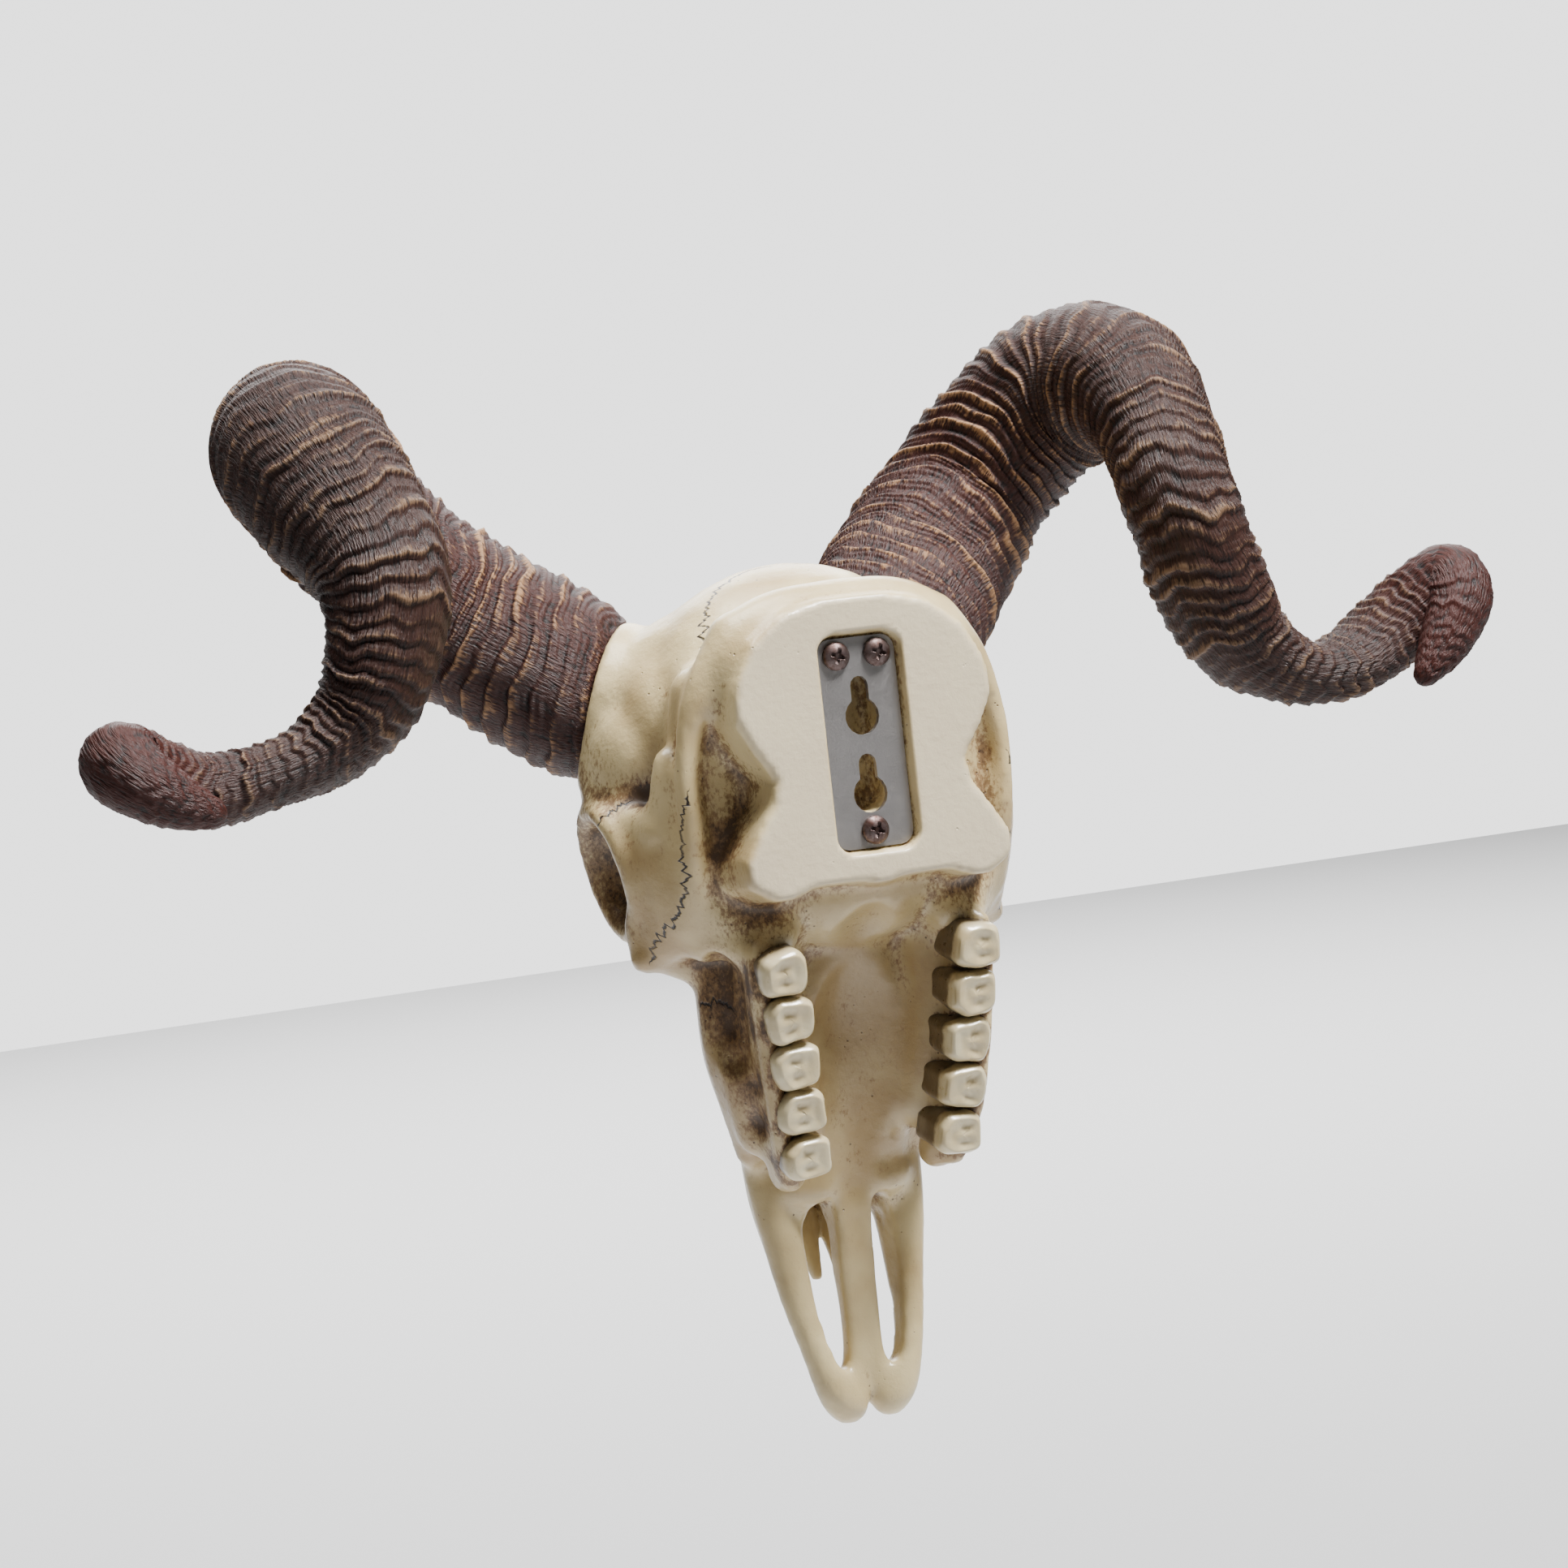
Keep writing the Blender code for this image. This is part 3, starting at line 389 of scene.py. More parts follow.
# Dark hairline sutures on the left side, each mirrored: places on the bone
SUTURES = (
    ((6, -44, 86), (12, -45, 85), (19, -42.5, 82.5), (24.5, -40, 79), (29, -36, 75), (32, -32, 70),
     (34, -29, 65.5)),
    ((50, -15, 25), (51.5, -18.5, 14.5), (51, -20, 2), (52, -25.5, -6.5), (54.5, -35, -13), (55, -39.5, -18)),
    ((56.5, -44, 24.5), (60.5, -45, 23), (62.5, -46, 20)),
    ((43, -41, -34), (38, -36, -33), (35.5, -34, -35)),
)

# Where the brown wash has pooled on the bone: place, reach along each axis, strength
WASH_SPOTS = (
    ((39, -16, 36), (8, 9, 13), 0.3),
    ((40, -15, 10), (8, 9, 12), 0.85),
    ((36, -14, -8), (11, 9, 6), 0.65),
    ((26, -13, -12), (9, 9, 5), 0.4),
    ((39, -30, -34), (7, 15, 15), 1.4),
    ((36, -28, -58), (5, 9, 5), 0.9),
    ((33, -31, -69), (5, 8, 6), 0.9),
    ((52, -36, 27), (7, 12, 5), 0.8),
    ((50, -48, 25), (10, 12, 6), 0.5),
    ((60, -66, 38), (8, 18, 16), 0.5),
    ((60, -60, 4), (13, 17, 17), 1.7),
    ((9, -60, -92), (7, 14, 9), 0.8),
)

# Where the ivory paint is darker and yellower: painted shade on the cheek, painted shade over tan paint on the palate,
# and darker paint on the side of the jaw; place, reach along each axis, strength
SHADE_AND_TAN_SPOTS = (
    ((0, -28, -55), (21, 22, 50), 1.0),
    ((53, -36, -8), (10, 16, 22), 0.8),
    ((34, -42, -58), (11, 20, 34), 0.8),
)


def bone_clay(clay):
    """The swelling forms of the skull."""
    # Braincase, forehead and the bosses that carry the horns
    clay.add(ball((0, -48, 37), (50, 43, 50)))
    clay.add(ball((0, -62, 22), (44, 36, 50)))
    clay.add(tube([(20, -56, 50, 28), (34, -70, 48, 25.5), (50, -88, 57, 23.5)]), True)
    # Shoulder of the dome round the upper edge of the flat back
    clay.add(tube([(0, -13, 71, 10), (16, -13, 70, 10), (26, -13, 66, 10), (33, -13.5, 60, 9),
                   (36.5, -15, 52, 7)]), True)
    # Face from the brow to the front of the palate
    clay.add(np.array([face_section(*row) for row in (
        (34, -22, -100, 44, 36), (12, -26, -98, 42, 32), (-8, -27, -95, 37, 26), (-22, -27, -92, 32, 20),
        (-34, -27, -89, 31, 17), (-54, -30, -85, 32, 15), (-72, -35, -80, 29, 14), (-88, -41, -76, 23, 12),
        (-100, -45, -71, 18, 9))]))
    # Rim of the skull behind the temple, down to the cheek
    clay.add(tube([(30, -15, 66, 9), (40.5, -15, 56, 5.6), (46.6, -16.5, 44, 3.8), (48.8, -17, 32, 3.3),
                   (48.6, -17.5, 18, 3.4), (47.5, -22, 2, 4), (44, -29, -10, 5.5), (41, -32, -17, 5.5)]), True)
    # Cheekbone between the eye socket and the jaw
    clay.add(ball((46, -47, -8), (10, 16, 13)), True)
    clay.add(ball((49, -45, 4), (10, 13, 20)), True)
    clay.add(tube([(54, -45, -6, 5.5), (52, -47, -15, 6.5), (45, -46, -19, 7), (35, -46, -23, 7)]), True)
    clay.add(tube([(51, -32, 22, 5), (52, -32, 8, 6), (50, -34, -6, 6), (46, -36, -13, 6.5)]), True)
    clay.add(tube([(58, -44, 16, 4), (56, -42, 4, 4.5), (52, -43, -8, 5.5)]), True)
    clay.add(tube([(47, -24, 22, 5), (47.5, -24.5, 12, 6), (47, -26, 0, 6.2), (46, -30, -9, 6.5)]), True)
    clay.add(tube([(53, -38, 16, 5.5), (53.5, -37, 6, 6), (51, -38.5, -6, 6.5), (49, -40, -14, 7)]), True)
    clay.add(ball((53.5, -46, -19.5), (5.5, 6.5, 4.5)), True)
    # Bulb behind the eye socket, and the bridge from it to the socket's upper rim
    clay.add(ball((52.5, -31.5, 17), (6, 7.5, 6)), True)
    clay.add(tube([(52, -34, 17, 6), (55, -42, 19.5, 4.6), (58.5, -50, 20.5, 4.2)]), True)
    # Underside of the horn boss, down to the brow
    clay.add(ball((38, -52, 42), (15, 21, 24)), True)
    clay.add(ball((45, -57, 35), (15, 19, 20)), True)
    clay.add(tube([(48, -70, 41, 13), (51.5, -63, 31, 10), (55, -58, 24, 7)]), True)
    clay.add(tube([(46, -53, 38, 10), (49.5, -51, 28, 9), (55, -50, 18, 6.5)]), True)
    # Floor of the temple hollow
    clay.add(ball((35, -40, 14), (14, 20, 30)), True)
    clay.add(tube([(37, -25, 52, 10), (37.5, -27.5, 34, 11), (38, -29.5, 16, 12), (38, -30, 2, 12),
                   (36, -28.5, -8, 11), (28, -24, -13, 10)]), True)
    # Brow over the eye socket, down from the horn boss
    clay.add(tube([(44, -74, 36, 12), (50, -68, 26, 9), (53, -62, 22, 6)]), True)
    # Pointed process that stands up behind the eye socket
    clay.add(tube([(50, -31, 10, 6), (51, -28, 22, 5.2), (50.8, -26.5, 31, 4.4), (50.6, -26, 36.5, 3.3)]), True)
    # Bridge from the cheek past the temple hollow to the tooth row
    clay.add(tube([(43, -32, -15, 6), (38, -26, -17, 5.5), (33, -20, -17.5, 5.5), (26, -17, -15.5, 6)]), True)
    clay.add(tube([(24, -19, -6, 7), (27, -20, -13, 7), (29, -23, -20, 7)]), True)
    # Tooth sockets, and the cheek wall with its crest in front of the hollows
    clay.add(tube([(31, -19, -19, 6), (31, -19.5, -30, 6), (29, -23.5, -52, 6), (26.5, -28, -72, 6),
                   (23.5, -34, -84, 5.5)]), True)
    clay.add(tube([(35, -13, -19, 3), (35.2, -13.5, -30, 3), (33.2, -17, -52, 3), (30.4, -21, -72, 3),
                   (26, -27.5, -86, 3)]), True)
    clay.add(tube([(34, -35, -51, 7), (32, -36, -60, 7), (29, -38, -72, 6.5)]), True)
    # Wall between the palate and the hollows beside the teeth
    clay.add(tube([(25, -30, -18, 9.5), (25.5, -31, -32, 9.5), (24.5, -33, -50, 9.5), (21.5, -38, -68, 9)]), True)
    clay.add(tube([(32, -44, -18, 8.5), (32, -44.5, -46, 8.5), (28, -47, -64, 7.5)]), True)
    clay.add(tube([(36.5, -41, -26, 5), (37, -41, -46, 5), (33, -43, -62, 5), (27, -49, -78, 5)]), True)
    # The throat behind the flat back
    clay.add(ball((0, -30, -6), (30, 22, 16)))
    # Rings round the eye sockets
    for side in (1, -1):
        clay.add(hoop((side * ORBIT_CENTRE[0], *ORBIT_CENTRE[1:]), (side * ORBIT_AXIS[0], *ORBIT_AXIS[1:]),
                      18.5, 3.0))
    clay.add(ball((45, -58, 4), (13, 19, 19)), True)
    # Incisor bones: outer prongs and a middle bar
    clay.add(tube([(21, -55, -78, 7), (20.3, -53, -96, 6.6), (17.8, -50.5, -118, 5.6), (14.2, -47.5, -136, 5.2),
                   (10, -46.5, -149, 6.2), (6.8, -47.5, -153.5, 6.2)]), True)
    clay.add(tube([(17, -66, -80, 6), (18.5, -62, -96, 5.2), (17.5, -56, -112, 4.6), (15.5, -52, -124, 4)]), True)
    clay.add(tube([(3.4, -47, -92, 5.4), (2.6, -47.5, -110, 4.8), (2.2, -47.5, -130, 4.2),
                   (3.2, -47.5, -144, 4.4), (5.5, -47.5, -150, 5)]), True)
    clay.add(ball((0, -47, -90), (22, 8, 8)))


def back_clay(clay):
    """The flat back, which stands out from the bone round it."""
    half = np.array(BACK_OUTLINE, dtype=float)
    outline = np.vstack([half, (half * (-1, 1))[-2:0:-1]])
    clay.add(prism(outline, -BACK_DEPTH, 0.0, BACK_FLARE))


def nasal_clay(clay):
    """The two nose bones, which end in points over the nostril opening."""
    clay.add(tube([(7, -88, 0, 9), (7, -84, -40, 8.5), (6.5, -77, -74, 7.5), (5.5, -71.5, -98, 5.5),
                   (4.4, -67, -112, 3.4), (3.8, -65, -119, 2.2)]), True)


def hollow_clay(clay):
    """What is cut out of the skull."""
    # Eye sockets, and the temples between the rim and the flat back
    clay.add(ball((ORBIT_CENTRE[0] + 4, ORBIT_CENTRE[1] - 1, ORBIT_CENTRE[2] - 1), (19, 14.8, 15.4)), True)
    clay.add(tube([(45, 2, 70, 3), (42.5, 0.5, 62, 5.5), (40.5, -0.5, 53, 9), (39, -1.5, 43, 12),
                   (38, -2.5, 31, 13.8), (37.5, -3.5, 18, 14), (38, -5.5, 3, 12.5), (35.5, -7, -6, 9.5),
                   (29, -7.5, -9.5, 6.5), (21, -6.5, -10, 5)]), True)
    # Notch between the horn boss and the eye socket
    clay.add(ball((70.5, -55, 27.5), (9, 15, 3.5)), True)
    # Palate, a channel between the tooth rows
    clay.add(tube([(0, 0, -12, 6), (0, -8, -22, 14), (0, -12.5, -32, 18), (0, -16, -44, 20), (0, -20, -60, 19),
                   (0, -25, -78, 17), (0, -31, -93, 13)], 0.9, around=40))
    # Hollows beside the tooth rows
    clay.add(tube([(41.5, -26, -23, 5), (43, -27, -31, 7.2), (42.5, -28.5, -41, 7.6), (39.5, -29, -49, 5.5)]), True)
    clay.add(ball((37, -25.5, -57.5), (4, 4, 4.5)), True)
    clay.add(ball((34, -29.5, -69), (3.5, 3.5, 5.5)), True)
    # Nostril opening behind the nose bones
    clay.add(tube([(0, -63, -84, 7), (0, -63, -96, 9), (0, -66, -112, 12), (0, -70, -128, 14)]))
    clay.add(tube([(20, -72, -112, 9), (20, -66, -128, 10), (18, -62, -142, 9)]), True)
    # Slots between the prongs and the middle bar, and the notch between the two tips
    clay.add(tube([(8.8, -48, -97, 3.2), (9.6, -49, -106, 4.4), (9.6, -49, -118, 4.3), (9.0, -48.5, -132, 3.7),
                   (7.9, -48, -142, 2.5)], 3.5), True)
    clay.add(tube([(0, -50, -151, 0.8), (0, -50, -163, 1.8)], 9.0, 4))


def recess_clay(clay):
    """The recess for the hanger plate, and the deeper pocket for the wall screw's head."""
    clay.add(prism(rounded_rectangle(PLATE_Z, RECESS_WIDTH, RECESS_HEIGHT, 4.9), -RECESS_DEPTH, 5.0))
    clay.add(prism(rounded_rectangle(PLATE_Z + 1.5, 13.0, 41.0, 6.4), -POCKET_DEPTH, 0.0))


def face_section(z, y_rear, y_front, half_width, nose_half_width, sides=40):
    """A section of the face: widest behind its middle and narrower towards the nose bridge.

    x = width(a) sin^0.8 a and y = middle + half depth cos^0.8 a, both with the sign kept.
    """
    a = np.linspace(0, 2 * math.pi, sides, endpoint=False)
    forward = (1 - np.cos(a)) / 2
    width = half_width + (nose_half_width - half_width) * forward**1.5
    x = np.sign(np.sin(a)) * np.abs(np.sin(a))**0.8 * width
    y = (y_rear + y_front) / 2 + np.sign(np.cos(a)) * np.abs(np.cos(a))**0.8 * (y_rear - y_front) / 2
    return np.column_stack([x, y, np.full(sides, float(z))])


def drum(centre, axis, radius, depth, around=48):
    """Rings of a flat-ended round bar that starts at a centre and runs along an axis."""
    direction = unit(np.array(axis, dtype=float))
    across = unit(np.cross(direction, (0.0, 1.0, 0.0)))
    up = np.cross(direction, across)
    a = np.linspace(0, 2 * math.pi, around, endpoint=False)[:, None]
    ring = np.cos(a) * across + np.sin(a) * up
    return np.array([centre + share * radius * ring + far * depth * direction
                     for share, far in ((0.02, 0.0), (1.0, 0.0), (1.0, 1.0), (0.02, 1.0))])


def tooth_places():
    """Centre of each crown's biting face on the left side, and its share along the row."""
    share = np.linspace(0, 1, TOOTH_COUNT)[:, None]
    return np.array(TOOTH_FIRST) * (1 - share) + np.array(TOOTH_LAST) * share


def suture_distance(points, normals):
    """Distance to the nearest suture, the same with a sign for its side, and the length along it."""
    nearest = np.full(len(points), 99.0)
    signed = np.full(len(points), 99.0)
    along = np.zeros(len(points))
    start = 0.0
    mirrored = np.column_stack([np.abs(points[:, 0]), points[:, 1:]])
    facing = np.column_stack([np.where(points[:, 0] < 0, -1, 1) * normals[:, 0], normals[:, 1:]])
    for suture in SUTURES:
        line = smooth_line(suture, 40)
        for first, second in zip(line, line[1:]):
            step = second - first
            size = np.linalg.norm(step)
            share = np.clip((mirrored - first) @ step / size**2, 0, 1)
            away = mirrored - first - share[:, None] * step
            distance = np.linalg.norm(away, axis=1)
            side = np.sign(np.einsum("ij,ij->i", away, np.cross(facing, step)))
            closer = distance < nearest
            nearest = np.where(closer, distance, nearest)
            signed = np.where(closer, side * distance, signed)
            along = np.where(closer, start + share * size, along)
            start += size
    return nearest, signed, along


def skull_mesh(voxel):
    """The whole skull: its forms fused, less the hollows, with the nose bones, fused again."""
    bone, hollows, added, recess = Clay(), Clay(), Clay(), Clay()
    bone_clay(bone)
    hollow_clay(hollows)
    back_clay(added)
    nasal_clay(added)
    recess_clay(recess)
    for side in (1, -1):
        centre, _, tangent = horn_path(side, 60)[:3]
        seat = unit(tangent[0] - SEAT_TILT * np.array(SEAT_LEAN))
        hollows.add(drum(centre[0] + SEAT_SHIFT * tangent[0], seat, 40.0, 70.0) * (side, 1.0, 1.0))
    body = fuse(bone.mesh("bone"), voxel * 1.1, 4)
    carved = carve(body, fuse(hollows.mesh("hollows"), voxel, 1))
    whole = fuse(joined(carved, added.mesh("added")), voxel, 4)
    return fuse(carve(whole, fuse(recess.mesh("recess"), voxel * 0.8, 0)), voxel, 2)


def finish_skull(mesh):
    """Work the surface, and store where the wash lies."""
    points = mesh_points(mesh)
    normals = mesh_normals(mesh)
    edges = mesh_edges(mesh)
    back = (points[:, 1] > -0.9) & (normals[:, 1] > 0.85)
    lumps = (np.sin(points[:, 0] / 7.1 + 0.6) * np.sin(points[:, 2] / 8.3 + 1.9)
             + np.sin(points[:, 1] / 5.7 + points[:, 2] / 9.7) * np.sin(points[:, 0] / 6.3 - points[:, 2] / 11.0))
    calm = relaxed((~back & (points[:, 1] < -1.5)).astype(float)[:, None], edges, 3)
    points = points + normals * (0.16 * lumps[:, None] * calm)
    points[:, 1] = np.minimum(points[:, 1], 0.0)
    points[back, 1] = np.maximum(points[back, 1], -0.02)
    mesh.vertices.foreach_set("co", (points * MM).astype(np.float32).ravel())
    mesh.update()
    small = relaxed(points, edges, 8)
    large = relaxed(small, edges, 70)
    dip_small = np.einsum("ij,ij->i", small - points, normals)
    dip_large = np.einsum("ij,ij->i", large - points, normals)
    wash = np.clip(dip_small / 0.3, 0, 1) * 0.45 + np.clip(dip_large / 2.0, 0, 1) * 0.25
    for place, reach, strength in WASH_SPOTS:
        wash += strength * near(points, place, reach)
    for place in tooth_places():
        across = np.abs(np.abs(points[:, 0]) - place[0]) / 7.1
        down = np.abs(points[:, 2] - place[2]) / 6.4
        outline = (across**3 + down**3) ** (1 / 3)
        gum = (points[:, 1] < place[1]) & (points[:, 1] > place[1] - 13.0)
        wash += 1.3 * np.exp(-((outline - 1.02) / 0.13)**2) * gum
    wash = relaxed(wash[:, None], edges, 2)[:, 0] * (1 - 0.85 * back)
    set_attribute(mesh, "wash", np.clip(wash, 0, 1.6))
    # The tan attribute marks painted shade on the cheek and the palate, over the palate's tan paint, and darker paint
    # on the side of the jaw
    set_attribute(mesh, "tan", sum(strength * near(points, place, reach) for place, reach, strength in SHADE_AND_TAN_SPOTS))
    set_attribute(mesh, "back", relaxed(back.astype(float)[:, None], edges, 1)[:, 0])
    nearest, signed, along = suture_distance(points, normals)
    set_attribute(mesh, "suture", signed)
    set_attribute(mesh, "suture_reach", nearest)
    set_attribute(mesh, "suture_along", along)


# The horns

# Centre line from the bone to the tip: x, y, height on the left horn and on the right horn, and
# the half widths seen from behind, from HORN_VIEW degrees outside it and inside it
HORN_LINE = (
    (40.5, -80.5, 51.5, 51.5, 25.0, 27.0),
    (56.8, -92.8, 65.0, 65.0, 25.8, 27.6),
    (72.6, -103.6, 79.6, 79.6, 24.0, 27.2),
    (89.2, -108.8, 96.1, 96.1, 22.6, 25.3),
    (98.0, -109.0, 105.2, 105.2, 22.6, 24.8),
    (106.0, -106.4, 114.4, 114.0, 23.6, 24.5),
    (114.0, -101.5, 123.2, 122.4, 24.4, 24.6),
    (120.8, -94.5, 129.8, 128.8, 24.5, 24.6),
    (125.8, -86.0, 133.0, 131.4, 24.4, 24.4),
    (128.6, -77.0, 132.8, 131.4, 24.3, 23.2),
    (130.0, -68.0, 129.4, 128.6, 24.3, 21.3),
    (129.8, -59.0, 123.4, 122.8, 23.8, 19.5),
    (128.4, -49.5, 115.6, 115.2, 22.6, 17.8),
    (126.4, -40.8, 106.6, 106.2, 20.8, 16.9),
    (124.6, -33.6, 96.9, 96.0, 19.0, 16.8),
    (125.4, -29.6, 85.8, 84.2, 17.6, 16.9),
    (128.0, -28.9, 74.5, 72.0, 16.0, 17.2),
    (132.5, -29.7, 63.6, 60.3, 14.3, 16.6),
    (139.8, -30.6, 55.0, 49.0, 12.2, 14.2),
    (149.7, -29.6, 49.3, 41.6, 9.9, 11.8),
    (161.0, -27.5, 45.8, 37.6, 8.7, 9.9),
    (173.0, -27.0, 43.4, 39.2, 8.5, 11.0),
    (184.7, -26.9, 43.6, 45.4, 9.2, 11.5),
    (196.6, -25.6, 48.0, 53.2, 10.6, 12.0),
    (206.2, -20.7, 52.6, 59.8, 11.2, 11.6),
    (204.2, -13.6, 47.8, 52.4, 9.8, 9.8),
    (194.5, -9.6, 41.0, 41.0, 7.2, 7.2),
    (184.0, -7.0, 36.5, 31.2, 2.8, 2.8),
)
HORN_VIEW = math.radians(25.0)
HORN_ROWS = 620
HORN_COLUMNS = 144
# How much further out the horn's rim starts on its upper side, and which side that is
SEAT_TILT = 0.27
SEAT_SHIFT = 2.2
SEAT_LEAN = (-0.42, 0.2, 0.89)
SEAT_REACH = 60.0
RIM_ROUNDING = 2.6


def horn_path(side, rows):
    """Centre line, half widths, and a frame along one horn that doesn't twist."""
    height = 2 if side > 0 else 3
    line = smooth_line([(row[0], row[1], row[height], row[4], row[5]) for row in HORN_LINE], rows)
    tangent = unit(np.gradient(line[:, :3], axis=0))
    across = np.empty_like(tangent)
    carried = np.cross(tangent[0], (0.0, 0.0, 1.0))
    for row, direction in enumerate(tangent):
        carried = unit(carried - direction * carried.dot(direction))
        across[row] = carried
    return line[:, :3], line[:, 3:], tangent, across, np.cross(tangent, across)


def wrapped(angle):
    """An angle brought to -pi..pi."""
    return (angle + math.pi) % (2 * math.pi) - math.pi


def horn_surface(side, ring_depth):
    """Rings of points of one horn, with its growth rings, and the height of the rings.

    Point = path(s) + S(s) (cos a, sin a) + rings(s, a), where S stretches the circle to the two
    half widths. rings is a sawtooth of the phase of s plus a wave in a: it rises over most of
    each ring and falls back steeply, and three finer rings ride on it.
    """
    centre, widths, tangent, across, up = horn_path(side, HORN_ROWS)
    outside, inside = widths.T
    first = unit(np.cross(tangent, (math.sin(HORN_VIEW), math.cos(HORN_VIEW), 0.0)))
    second = unit(np.cross(tangent, (-math.sin(HORN_VIEW), math.cos(HORN_VIEW), 0.0)))
    mean = (outside**2 + inside**2) / 2
    apart = np.maximum(1 - np.einsum("ij,ij->i", first, second)**2, 0.3)
    skew = ((outside**2 - inside**2) / 4 / mean / apart)[:, None, None]
    a = np.linspace(0, 2 * math.pi, HORN_COLUMNS, endpoint=False)[None, :]
    out = np.cos(a)[..., None] * across[:, None] + np.sin(a)[..., None] * up[:, None]
    lengthened = np.einsum("nk,nmk->nm", first, out)[..., None] * first[:, None]
    shortened = np.einsum("nk,nmk->nm", second, out)[..., None] * second[:, None]
    out = out + skew * (lengthened - shortened)
    radius = np.sqrt(mean)[:, None]
    s = np.r_[0, np.cumsum(np.linalg.norm(np.diff(centre, axis=0), axis=1))][:, None]
    total = s[-1, 0]
    share = s / total

    # The fold that the rings climb to on the base's inner rear face
    towards = np.array((-math.sin(HORN_VIEW), math.cos(HORN_VIEW), 0.04))
    towards = unit(towards - tangent * (tangent @ towards)[:, None])
    inner = unit(np.cross(towards, tangent))
    inner = inner * np.sign(inner[:, 2:])
    swing = np.radians(np.interp(s[:, 0], (0, 35, 85, 120), (80, 58, 14, 5)))[:, None]
    keel_way = np.cos(swing) * towards + np.sin(swing) * inner
    keel = np.arctan2(np.einsum("ij,ij->i", keel_way, up), np.einsum("ij,ij->i", keel_way, across))[:, None]
    from_keel = wrapped(a - keel)
    climb = np.interp(share, (0, 0.1, 0.35, 0.5), (0.6, 1.0, 0.7, 0.0))

    rng = np.random.default_rng(SEED + (0 if side > 0 else 5))
    shift = rng.uniform(0, 2 * math.pi, 8)
    wave = (1.4 * np.sin(a + shift[0] + 0.012 * s) + 1.1 * np.sin(2 * a + shift[1] + 0.021 * s)
            + 0.95 * np.sin(3 * a + shift[2] - 0.033 * s) + 0.7 * np.sin(5 * a + shift[3] + 0.06 * s)
            + 0.5 * np.sin(8 * a + shift[4] - 0.11 * s) + 0.3 * np.sin(13 * a + shift[5] + 0.23 * s))
    wave = wave - climb * (6.0 * np.cos(from_keel) + 5.0 * np.exp(-(from_keel / 0.42)**2))
    pitch = np.interp(share[:, 0], (0, 0.15, 0.4, 0.7, 1), (7.2, 6.4, 4.7, 4.2, 3.6))
    count = np.cumsum(np.gradient(s[:, 0]) / pitch)
    phase = 4.0 + np.interp(s + wave, s[:, 0], count)
    phase = phase + np.maximum(s + wave - total, 0) / 4 + np.minimum(s + wave, 0) / 7
    number = np.floor(phase).astype(int)
    part_way = phase - number
    strength = rng.uniform(0.5, 1.2, 200)[number % 200]
    strength = strength * (0.8 + 0.25 * np.sin(2 * a + rng.uniform(0, 6.28, 200)[number % 200]))
    rise = np.where(part_way < 0.8, (part_way / 0.8)**1.3, (1 - part_way) / 0.2)
    fine_phase = phase * 3.0 + 0.35 * np.sin(4 * a + shift[6]) + 0.3 * np.sin(7 * a + shift[7] + 0.2 * s)
    fine = np.abs((fine_phase % 1.0) * 2 - 1)
    depth = ring_depth * np.interp(share, (0, 0.2, 0.5, 0.76, 0.86, 0.92, 1), (1.4, 1.3, 1.1, 0.9, 0.7, 0.5, 0.4))
    lumps = 0.35 * np.sin(s / 6.5 + 2 * a + shift[0]) * np.sin(s / 11.0 - a + shift[1])
    crease_at = 2.4 + 0.16 * np.sin(s / 8.0) + 0.1 * np.sin(s / 3.1)
    crease = np.exp(-(wrapped(a - crease_at) * radius / 1.3)**2) * np.interp(share, (0.42, 0.5, 0.8, 0.86), (0, 1, 1, 0))
    height = strength * rise * 0.85 + 0.2 * fine
    relief = depth * (height - 0.55) + lumps * np.interp(share, (0, 0.86, 0.95), (1, 0.8, 0.2)) - 0.9 * crease
    fan = SEAT_TILT * np.einsum("nmk,k->nm", out, np.array(SEAT_LEAN)) * radius + SEAT_SHIFT
    fan = fan * np.clip(1 - s / SEAT_REACH, 0, 1)
    radius = radius - RIM_ROUNDING * np.clip(1 - s / 9.0, 0, 1)**2
    tip = np.sqrt(1 - np.clip((s - total) / widths[-1, 0] + 1, 0, 0.98)**2)
    points = centre[:, None] + (tip * (radius + relief))[..., None] * out + fan[..., None] * tangent[:, None]
    grain = np.stack([radius * np.cos(a), radius * np.sin(a), s + 0 * a], axis=-1) * MM
    looks = {"crest": np.clip(height, 0, 1.2) - crease, "along": share + 0 * a, "rim": s + 0 * a}
    return points * (side, 1.0, 1.0), looks, grain


def horn_object(side, name, settings, finish):
    """One horn as a closed mesh that carries its rings' height, its length and its grain."""
    rings, looks, grain = horn_surface(side, settings.ring_depth / MM)
    mesh = new_mesh(name, *skin(rings))
    for key, values in looks.items():
        set_attribute(mesh, key, np.r_[values.ravel(), values[0].mean(), values[-1].mean()])
    layer = mesh.attributes.new("grain", "FLOAT_VECTOR", "POINT")
    ends = np.vstack([grain.reshape(-1, 3), grain[0].mean(axis=0), grain[-1].mean(axis=0)])
    layer.data.foreach_set("vector", ends.astype(np.float32).ravel())
    return new_object(name, mesh, finish)


# Teeth


